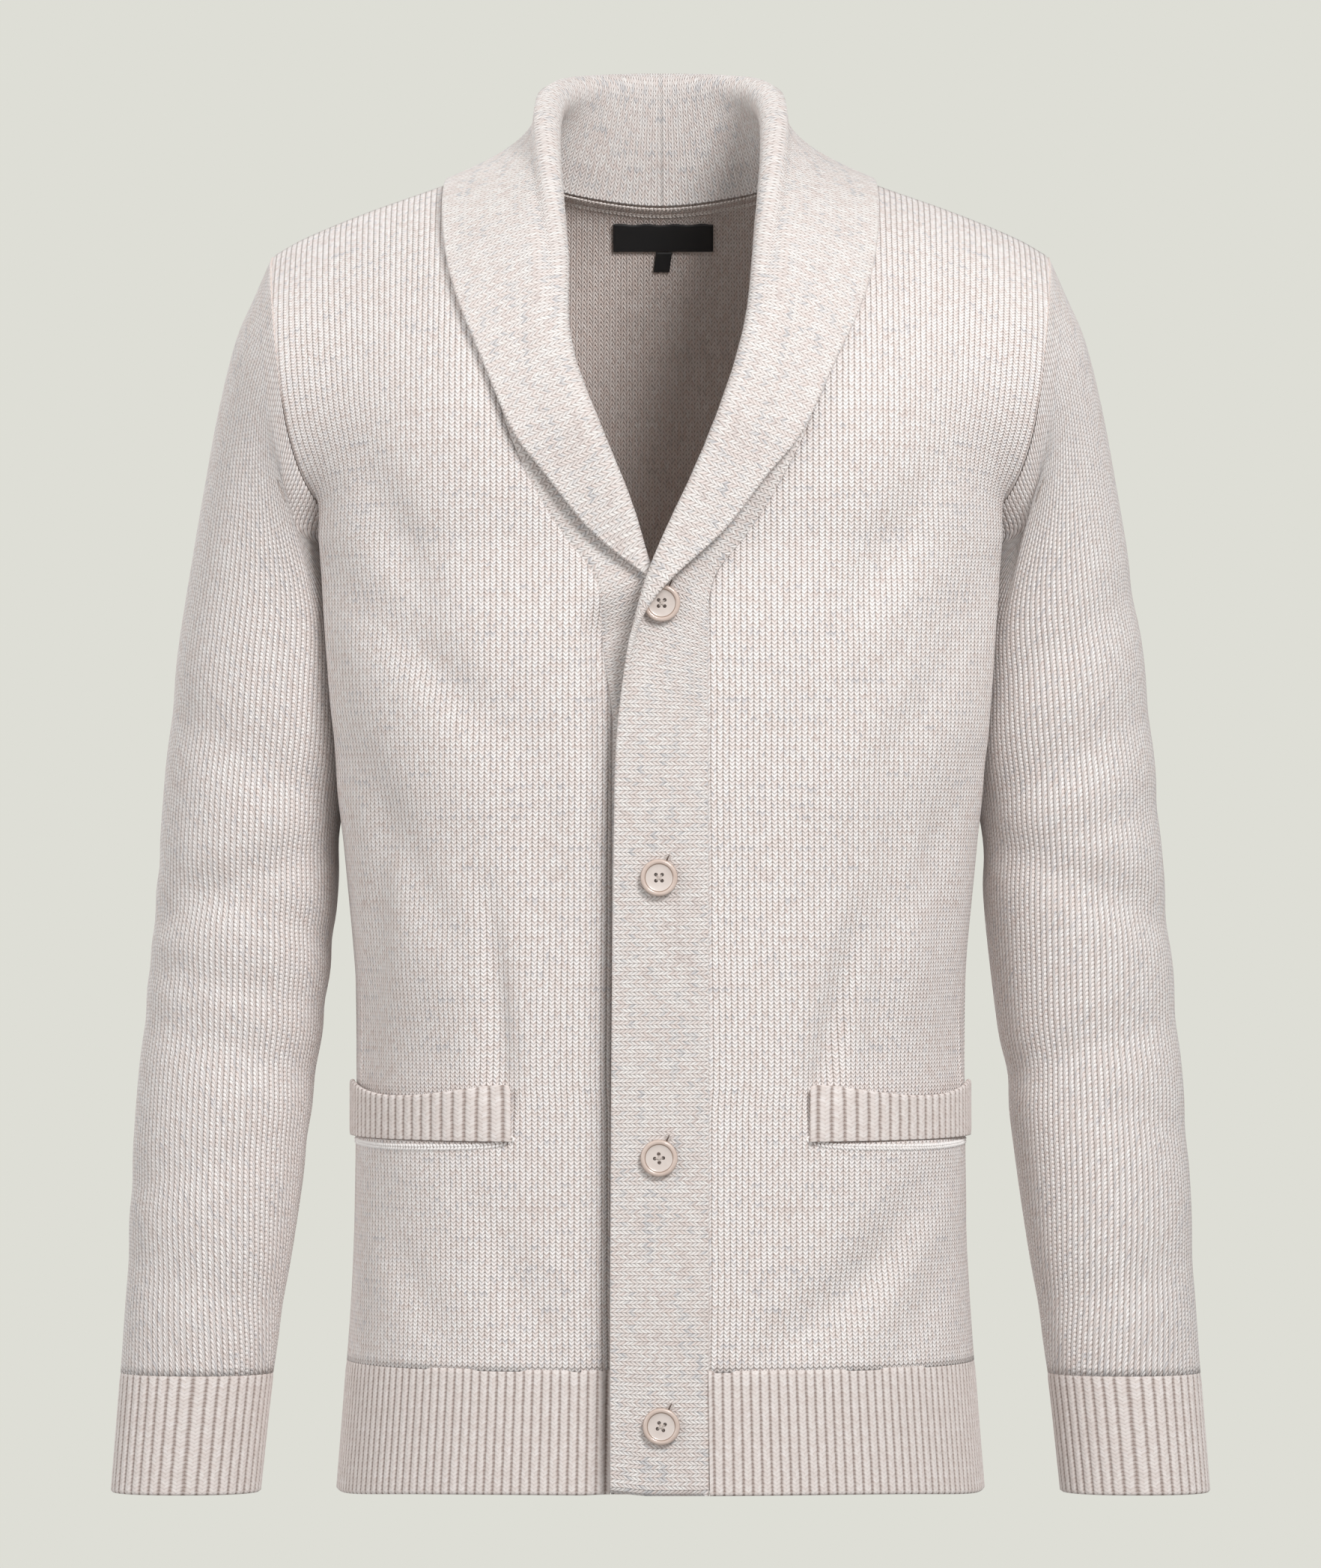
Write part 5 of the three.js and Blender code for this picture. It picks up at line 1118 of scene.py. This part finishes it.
strips = {}
for side, lapel, curl_from, sign in (("left", left_lapel, -300, 1), ("right", right_lapel, -270, -1)):
    rows = strip_table(lapel)
    grid = np.stack([strip_row(rows, curl_from, float(place), strip_shares) for place in strip_places])
    even = smoothed(smoothed(smoothed(grid, SMOOTHING_ROWS), SMOOTHING_ROWS), SMOOTHING_ROWS)
    curled = ease(FIRST_CURLED_PLACE, FIRST_CURLED_PLACE + 40, strip_places)[:, None, None]
    grid = mix(grid, even, curled * ease(0.0, 0.15, strip_shares)[None, :, None])
    last = np.searchsorted(strip_places, CENTRE_BACK)
    share = (CENTRE_BACK - strip_places[last - 1]) / (strip_places[last] - strip_places[last - 1])
    grid[last] = mix(grid[last - 1], grid[last], share)
    grid[last, :, 0] = 0
    grid = grid[: last + 1]
    places = strip_places[: last + 1]
    if side == "right":
        grid = underlap(grid)
        grid[..., 1] += TURN_IN_DEPTH * (1 - ease(*TURN_IN_ENDS, places))[:, None]
    normals = grid_normals(grid, (60, 20), (0, -1, 0))
    rows_up = distances(grid, 0)[:, np.searchsorted(strip_shares, 0.7)][:, None]
    rows_up = rows_up - rows_up[-1]
    uv = np.stack([rows_up + 0 * grid[..., 0], distances(grid, 1)], -1)
    outer, inner = rounded(grid, normals, STRIP_WALL, ("right", "foot"), 1.4)
    outer = outer - normals * seam_dip(grid, ("left",))[..., None]
    for face in (outer, inner):
        face[-1, :, 0] = sign * 0.02
    strip = wall_object(f"collar_band_{side}_strip", outer, inner, uv, [band_knit, band_knit])
    wear(strip, f"collar_band_{side}")
    strips[side] = grid


# Pockets: a ribbed welt lies over each slit, linked along its foot, and a slack bag of plain
# jersey hangs inside from the upper edge of the slit.
WELT_RIBS = 22
WELT_FROM = 0.195
WELT_TO = 0.95
WELT_DIP = 7
WELT_CORNER = 2.6
LYING_GAP = 0.4
BAG_WALL = 2
for side, place in placings.items():
    s, t = np.meshgrid(np.linspace(0, 1, WELT_RIBS * COLUMNS_A_RIB + 1), HEM_ROWS[::-1])
    top = WELT_TOP_Z - WELT_DIP * np.sin(np.pi * s) ** 1.3
    near_end = np.clip(1 - np.minimum(s, 1 - s) * WELT_RIBS * RIB_PITCH / WELT_CORNER, 0, 1)
    top = top - WELT_CORNER * (1 - np.sqrt(1 - near_end**2))
    plain = place(front_body(mix(WELT_SEAM_Z + 0.3, top, t), mix(WELT_FROM, WELT_TO, s)))
    normals = grid_normals(plain, (4, 40), (0, -1, 0))
    start = ease(0.0, 0.08, t) * ease(1.0, 0.95, t)
    lifted = plain + normals * (2 * LYING_GAP + RIB_WALL)
    raised = lifted + normals * rib_height(s * WELT_RIBS, start)[..., None]
    outer, _ = rounded(raised, normals, RIB_WALL, ("top", "left", "right"), 1.1)
    _, inner = rounded(lifted, normals, RIB_WALL, ("top", "left", "right"), 1.1)
    uv = np.stack([s * WELT_RIBS * RIB_PITCH, distances(plain, 0)], -1)
    band = wall_object(f"pocket_welt_{side}_band", outer, inner, uv, ribbing)
    wear(band, f"pocket_welt_{side}")

for side, place in placings.items():
    u, z = np.meshgrid(np.linspace(POCKET_FROM - 0.012, POCKET_TO + 0.02, 40), np.linspace(BAG_BOTTOM_Z, SLIT_TOP_Z - 0.5, 46))
    plain = place(front_body(z, u))
    normals = grid_normals(plain, (4, 20), (0, -1, 0))
    slack = pocket_share(u) * 10 * ease(BAG_BOTTOM_Z, -606, z) * (1 - 0.9 * ease(-536, -528, z))
    depth = pocket_inward(z, u) + BODY_WALL + 0.5 + slack
    outer = plain - normals * depth[..., None]
    uv = np.stack([distances(plain, 1), distances(plain, 0)], -1)
    sack = wall_object(f"pocket_bag_{side}_sheet", outer, outer - normals * BAG_WALL, uv, [reverse_knit, reverse_knit])
    wear(sack, f"pocket_bag_{side}")


# Back neck: a chain-stitched tape over the seam, a bare black woven label and a bare size tab,
# all lying on the inside of the back.
def plain_material(name, colour, roughness=0.8, sheen=0.0):
    material = bpy.data.materials.new(name)
    material.use_nodes = True
    shader = material.node_tree.nodes["Principled BSDF"]
    shader.inputs["Base Color"].default_value = linear(colour)
    shader.inputs["Roughness"].default_value = roughness
    shader.inputs["Sheen Weight"].default_value = sheen
    return material


def inside_back(x, z, depth):
    """Points on the inner face of the back, a depth in from its outer face."""
    def back_depth(x, z):
        return depth_on(half_back_tree, abs(x), z, 1)

    points = np.empty((*x.shape, 3))
    for i in np.ndindex(x.shape):
        y = back_depth(x[i], z[i])
        slope_x = back_depth(x[i] + 0.5, z[i]) - back_depth(x[i] - 0.5, z[i])
        slope_z = y - back_depth(x[i], z[i] - 1)
        normal = np.array([-slope_x, 1, -slope_z]) / math.hypot(slope_x, 1, slope_z)
        points[i] = np.array([x[i], y, z[i]]) - normal * depth
    return points


def lay_inside(name, node, x, z, wall, material):
    near = BODY_WALL + 2 * LYING_GAP
    outer, inner = inside_back(x, z, near), inside_back(x, z, near + wall)
    uv = np.stack([x - x.min(), z - z.min()], -1)
    piece = wall_object(name, outer, inner, uv, [material, material])
    wear(piece, node)
    return piece


TAPE_RISE = 2.4
label_satin = plain_material("black_woven_satin_tape", "#131315", 0.55, 0.2)
s, t = np.meshgrid(np.linspace(0, 1, 41), np.linspace(0, 1, 13))
ragged = 0.35 * np.sin(s * 23) * t
label_x, label_z = mix(-26.5, 29.5, s), mix(-42.5, -27.5, t) + ragged
lay_inside("neck_label_tape", "neck_label", label_x, label_z, 0.8, label_satin)
s, t = np.meshgrid(np.linspace(0, 1, 9), np.linspace(0, 1, 11))
tab_x, tab_z = mix(-2.5, 6.5, s) - 1.5 * (1 - t), mix(-54, -43, t)
lay_inside("size_tab_tape", "size_tab", tab_x, tab_z, 0.6, label_satin)
s, t = np.meshgrid(np.linspace(-0.6, 0.6, 81), np.linspace(0, 1, 5))
tape_x = np.sign(s) * track(back_neck, "x", 1 - np.abs(s))
tape_z = track(back_neck, "z", 1 - np.abs(s)) - 0.4 - 5.5 * (1 - t)
neck_tape = lay_inside(
    "neck_tape_strip", "neck_tape", tape_x, tape_z, 0.9, band_knit
)
for vertex in neck_tape.data.vertices:
    vertex.co.z += TAPE_RISE * MM


# Buttons: polished polyester that looks like pale horn, turned with a raised rim and four holes.
# Each is sewn to the right band with pale thread and passed through a buttonhole of the left one.
BUTTON_RADIUS = 10
HOLE_RADIUS = 1.0
HOLE_OFFSET = 2.3
button_places = ((0.6, -243.5), (-0.8, -390), (-0.8, -540), (0.4, -683.5))
button_profile = (
    (0.0, 0.0), (8.2, 0.0), (9.3, 0.4), (9.9, 1.2), (10.0, 1.7), (9.8, 2.5), (9.3, 3.0), (8.8, 3.2),
    (8.2, 3.15), (7.7, 2.9), (7.2, 2.45), (6.6, 2.2), (4.5, 2.05), (0.0, 2.0),
)
horns = []
# rim and dish are the horn's own tones; the third material is painted shade, a darker brown
for name, dark, light, roughness in (
    ("pale_horn_rim", "#C4AEA2", "#DFCEC4", 0.25),
    ("pale_horn_dish", "#CFC1B9", "#E4DAD4", 0.3),
    ("pale_horn_painted_shade", "#8F786C", "#A8907F", 0.35),
):
    horn = plain_material(name, light, roughness)
    horn_tree = horn.node_tree
    horn_place = add(horn_tree, "ShaderNodeTexCoord").outputs["Object"]
    clouds = add(horn_tree, "ShaderNodeTexNoise", horn_place, None, 140.0, 3.0, 0.6).outputs[0]
    horn_shader = horn_tree.nodes["Principled BSDF"]
    horn_tree.links.new(blend(horn_tree, clouds, linear(dark), linear(light)), horn_shader.inputs["Base Color"])
    horn_shader.inputs["Coat Weight"].default_value = 0.4
    horns.append(horn)
DISH_RADIUS = 6.9
STEP_RADIUS = 7.6
EDGE_RADIUS = 9.8
HOLE_TURNS = (45, 45, 4, 30)
sewing_thread = plain_material("pale_sewing_thread", "#CFC3BB", 0.7, 0.2)
band_tree = surface_tree(strips["left"][:, :34])


def lathe(name, profile, facets, materials):
    turn = 2 * np.pi * np.arange(facets) / facets
    ring = np.array([[(r * math.cos(a), -h, r * math.sin(a)) for a in turn] for r, h in profile])
    mesh = bpy.data.meshes.new(name)
    build = bmesh.new()
    verts = [[build.verts.new(Vector(p) * MM) for p in row] for row in ring]
    for lower, upper in zip(verts, verts[1:]):
        for k in range(facets):
            build.faces.new((lower[k], lower[(k + 1) % facets], upper[(k + 1) % facets], upper[k]))
    bmesh.ops.remove_doubles(build, verts=build.verts, dist=1e-6)
    bmesh.ops.recalc_face_normals(build, faces=build.faces)
    build.to_mesh(mesh)
    build.free()
    for polygon in mesh.polygons:
        polygon.use_smooth = True
    for material in materials:
        mesh.materials.append(material)
    piece = bpy.data.objects.new(name, mesh)
    bpy.context.collection.objects.link(piece)
    return piece


def settle(piece):
    """Keeps what the modifiers made, and takes the modifiers off."""
    made = bpy.data.meshes.new_from_object(piece.evaluated_get(bpy.context.evaluated_depsgraph_get()))
    piece.modifiers.clear()
    piece.data = made


button_seats = []
for number, (x, z) in enumerate(button_places, 1):
    seat = min(depth_on(band_tree, x + dx * 8, z + dz * 8) for dx in (-1, 0, 1) for dz in (-1, 0, 1)) - 0.3
    button_seats.append(seat)
    disc = lathe(f"button_{number}_disc", button_profile, 56, horns)
    drill = bpy.data.meshes.new("drill")
    holes = bmesh.new()
    for k in range(4):
        turn = math.radians(HOLE_TURNS[number - 1] + 90 * k)
        wide = HOLE_RADIUS * MM
        made = bmesh.ops.create_cone(holes, cap_ends=True, segments=20, radius1=wide, radius2=wide, depth=0.012)
        for vertex in made["verts"]:
            vx, vy, vz = vertex.co
            vertex.co = (vx + HOLE_OFFSET * MM * math.cos(turn), vz, vy + HOLE_OFFSET * MM * math.sin(turn))
    bmesh.ops.recalc_face_normals(holes, faces=holes.faces)
    holes.to_mesh(drill)
    holes.free()
    cutter = bpy.data.objects.new("drill", drill)
    bpy.context.collection.objects.link(cutter)
    cut = disc.modifiers.new("holes", "BOOLEAN")
    cut.object = cutter
    cut.operation = "DIFFERENCE"
    cut.solver = "EXACT"
    settle(disc)
    bpy.data.objects.remove(cutter)
    # painted shade: the step ring inside the rim and the outer edge take the darker third material
    for polygon in disc.data.polygons:
        radius = math.hypot(polygon.center.x, polygon.center.z) / MM
        in_painted_shade = DISH_RADIUS < radius < STEP_RADIUS or radius > EDGE_RADIUS
        polygon.material_index = 2 if in_painted_shade else int(radius < DISH_RADIUS)
    for vertex in disc.data.vertices:
        vertex.co += Vector((x, seat, z)) * MM
    disc.data.set_sharp_from_angle(angle=math.radians(38))
    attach(disc, "root")
    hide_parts(f"button_{number}")


# Linking and sewing thread: chains of fine yarn that join the pieces. Each stitch is a short soft
# strand, laid along its seam by one geometry-nodes tree.
def stitch_tree(material):
    tree = bpy.data.node_groups.new("laid_stitches", "GeometryNodeTree")
    sockets = (("Places", "NodeSocketGeometry", None), ("Stitch Length", "NodeSocketFloat", 2.4 * MM),
               ("Thread Thickness", "NodeSocketFloat", 0.9 * MM), ("Seed", "NodeSocketInt", 7))
    for name, kind, value in sockets:
        made = tree.interface.new_socket(name, in_out="INPUT", socket_type=kind)
        if value is not None:
            made.default_value = value
    tree.interface.new_socket("Stitches", in_out="OUTPUT", socket_type="NodeSocketGeometry")
    given = add(tree, "NodeGroupInput").outputs
    strand = add(tree, "GeometryNodeMeshUVSphere", 8, 6, 0.5).outputs[0]
    along = add(tree, "GeometryNodeInputNamedAttribute", "along", data_type="FLOAT_VECTOR").outputs[0]
    facing = add(tree, "GeometryNodeInputNamedAttribute", "facing", data_type="FLOAT_VECTOR").outputs[0]
    turned = add(tree, "FunctionNodeAxesToRotation", along, facing, primary_axis="X", secondary_axis="Z").outputs[0]
    uneven = add(tree, "FunctionNodeRandomValue", data_type="FLOAT")
    uneven.inputs[2].default_value = 0.85
    uneven.inputs[3].default_value = 1.15
    tree.links.new(given["Seed"], uneven.inputs["Seed"])
    length = math_node(tree, "MULTIPLY", given["Stitch Length"], uneven.outputs[1])
    thick = math_node(tree, "MULTIPLY", given["Thread Thickness"], uneven.outputs[1])
    size = add(tree, "ShaderNodeCombineXYZ", length, thick, thick).outputs[0]
    places = given["Places"]
    placed = add(tree, "GeometryNodeInstanceOnPoints", places, None, strand, None, None, turned, size)
    whole = add(tree, "GeometryNodeRealizeInstances", placed.outputs[0]).outputs[0]
    soft = add(tree, "GeometryNodeSetShadeSmooth", whole).outputs[0]
    dressed = add(tree, "GeometryNodeSetMaterial", soft)
    dressed.inputs["Material"].default_value = material
    tree.links.new(dressed.outputs[0], add(tree, "NodeGroupOutput").inputs[0])
    return tree


def chain(points, facing, pitch, width, lean):
    """Places of a chain stitch along a line: two legs a stitch, each leaning to its middle."""
    length = np.r_[0, np.cumsum(np.linalg.norm(np.diff(points, axis=0), axis=1))]
    at = np.arange(pitch / 2, length[-1], pitch)
    spots = np.stack([np.interp(at, length, points[:, i]) for i in range(3)], 1)
    face = np.stack([np.interp(at, length, facing[:, i]) for i in range(3)], 1)
    ahead = np.gradient(spots, axis=0)
    ahead /= np.linalg.norm(ahead, axis=1, keepdims=True)
    aside = np.cross(face, ahead)
    legs = [(spots + aside * side * width, ahead + aside * side * lean, face) for side in (-1, 1)]
    return [np.concatenate(part) for part in zip(*legs)]


def lay_stitches(name, rows, tree, length, thickness):
    spots, along, facing = (np.concatenate(part) for part in zip(*rows))
    mesh = bpy.data.meshes.new(name)
    mesh.from_pydata((spots * MM).tolist(), [], [])
    for attribute, values in (("along", along), ("facing", facing)):
        mesh.attributes.new(attribute, "FLOAT_VECTOR", "POINT").data.foreach_set("vector", values.ravel())
    piece = bpy.data.objects.new(name, mesh)
    bpy.context.collection.objects.link(piece)
    laid = piece.modifiers.new("stitches", "NODES")
    laid.node_group = tree
    for item in tree.interface.items_tree:
        if item.name == "Stitch Length":
            laid[item.identifier] = length * MM
        if item.name == "Thread Thickness":
            laid[item.identifier] = thickness * MM
    settle(piece)
    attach(piece, "root")


linking_yarn = plain_material("fuzzy_linking_yarn", "#F2EEEC", 0.95, 0.5)
yarn_stitches = stitch_tree(linking_yarn)
for side, place in placings.items():
    s = np.linspace(0, 1, 120)
    rise = 5.0 * np.exp(-s / 0.045) - 1.2 * np.sin(np.pi * s) ** 2
    z = WELT_SEAM_Z - 2.6 + rise
    u = mix(WELT_FROM - 0.006, WELT_TO, s)
    plain = place(front_body(z, u))
    low = place(front_body(z - 2, u))
    across_line = np.gradient(plain, axis=0)
    face = np.cross(across_line, plain - low)
    face /= np.linalg.norm(face, axis=1, keepdims=True)
    face *= np.where(face[:, 1:2] > 0, -1, 1)
    raised = plain - face * pocket_inward(z, u)[:, None] + face * 0.1
    stitches = chain(raised, face, 2.2, 0.85, 0.75)
    lay_stitches(f"pocket_link_{side}", [stitches], yarn_stitches, 2.7, 1.5)

s = np.linspace(-0.62, 0.62, 160)
chains = []
for drop in (-0.2, -4.6):
    x = np.sign(s) * track(back_neck, "x", 1 - np.abs(s))
    z = track(back_neck, "z", 1 - np.abs(s)) + drop
    points = inside_back(x, z, BODY_WALL + 2 * LYING_GAP + 1.0)
    facing = inside_back(x, z, BODY_WALL + 2 * LYING_GAP + 2.0) - points
    chains.append(chain(points + [0, 0, TAPE_RISE], facing, 2.2, 0.6, 0.6))
neck_yarn = plain_material("neck_linking_yarn", "#F4ECE6", 0.95, 0.4)
lay_stitches("neck_tape_chains", chains, stitch_tree(neck_yarn), 2.5, 1.1)


# Button thread: four strands over the dished middle of each button, crossing from hole to hole.
thread_tree = stitch_tree(sewing_thread)
for number, (x, z) in enumerate(button_places, 1):
    middle = np.array([x, button_seats[number - 1] - 2.35, z])
    spots, along = [], []
    for turn in (math.radians(HOLE_TURNS[number - 1]), math.radians(HOLE_TURNS[number - 1] + 90)):
        across_hole = np.array([math.cos(turn), 0, math.sin(turn)])
        aside = np.array([-math.sin(turn), 0, math.cos(turn)])
        for shift in (-0.22, 0.22):
            spots.append(middle + aside * shift)
            along.append(across_hole)
    facing = np.tile([0.0, -1.0, 0.0], (len(spots), 1))
    strands = [np.array(spots), np.array(along), facing]
    lay_stitches(f"button_{number}_thread", [strands], thread_tree, 4.6, 0.42)


# Buttonholes: a slit up and to the right from each button, whose sewn end shows past the rim. The
# slit is a dark strand of painted shade, edged with yarn stitches.
HOLE_SLOPE = math.radians(66)
slit_painted_shade = plain_material("buttonhole_shade", "#5C4B42", 0.95)
slit_shade_tree = stitch_tree(slit_painted_shade)
edge_tree = stitch_tree(plain_material("buttonhole_yarn", "#D3C9C4", 0.95, 0.3))
along_slit = np.array([math.cos(HOLE_SLOPE), 0, math.sin(HOLE_SLOPE)])
aside_slit = np.array([-math.sin(HOLE_SLOPE), 0, math.cos(HOLE_SLOPE)])
outwards = np.array([0.0, -1.0, 0.0])


def on_band(number, far, aside):
    """A point on the band, a distance along a button's slit and another beside it."""
    x, z = button_places[number - 1]
    spot = np.array([x, 0, z]) + along_slit * far + aside_slit * aside
    return np.array([spot[0], depth_on(band_tree, spot[0], spot[2]) - 0.15, spot[2]])


for number in range(1, len(button_places) + 1):
    # a dark strand paints the shade in the open slit
    gap = [np.array([on_band(number, 10.2, 0)]), along_slit[None], outwards[None]]
    lay_stitches(f"buttonhole_{number}_gap", [gap], slit_shade_tree, 6.2, 0.8)
    sides = [(far, side) for far in np.arange(9.4, 13.6, 0.8) for side in (-0.95, 0.95)]
    spots = np.array([on_band(number, *side) for side in sides] + [on_band(number, 14.2, 0)])
    along = np.array([aside_slit] * len(sides) + [along_slit])
    facing = np.tile(outwards, (len(spots), 1))
    lay_stitches(f"buttonhole_{number}_edge", [[spots, along, facing]], edge_tree, 1.7, 0.7)


# Stage: a pale even ground on every side, a soft light from the upper right, and a weak fill all
# round. The garment hangs in the air as in the picture, so nothing lies under it.
bpy.context.scene.view_settings.view_transform = "Standard"


def area_light(name, at, size, watts):
    data = bpy.data.lights.new(name, "AREA")
    data.size = size
    data.energy = watts
    light = bpy.data.objects.new(name, data)
    light.location = at
    light.rotation_euler = (Vector((0, 0, -0.34)) - Vector(at)).to_track_quat("-Z", "Y").to_euler()
    bpy.context.collection.objects.link(light)


area_light("key", (1.25, -2.4, 1.5), 1.0, 78)
area_light("left_fill", (-2.4, -1.6, 0.3), 2.0, 25)
area_light("back_light", (-1.5, 2.5, 1.3), 1.6, 48)
world = bpy.data.worlds.new("studio")
bpy.context.scene.world = world
world.use_nodes = True
studio = world.node_tree
room_light = studio.nodes["Background"]
room_light.inputs["Color"].default_value = linear("#F2F2F0")
room_light.inputs["Strength"].default_value = 0.5
ground = add(studio, "ShaderNodeBackground", linear("#DEDED6"), 1.0)
seen = add(studio, "ShaderNodeLightPath").outputs["Is Camera Ray"]
around = add(studio, "ShaderNodeMixShader", seen, room_light.outputs[0], ground.outputs[0])
studio.links.new(around.outputs[0], studio.nodes["World Output"].inputs["Surface"])
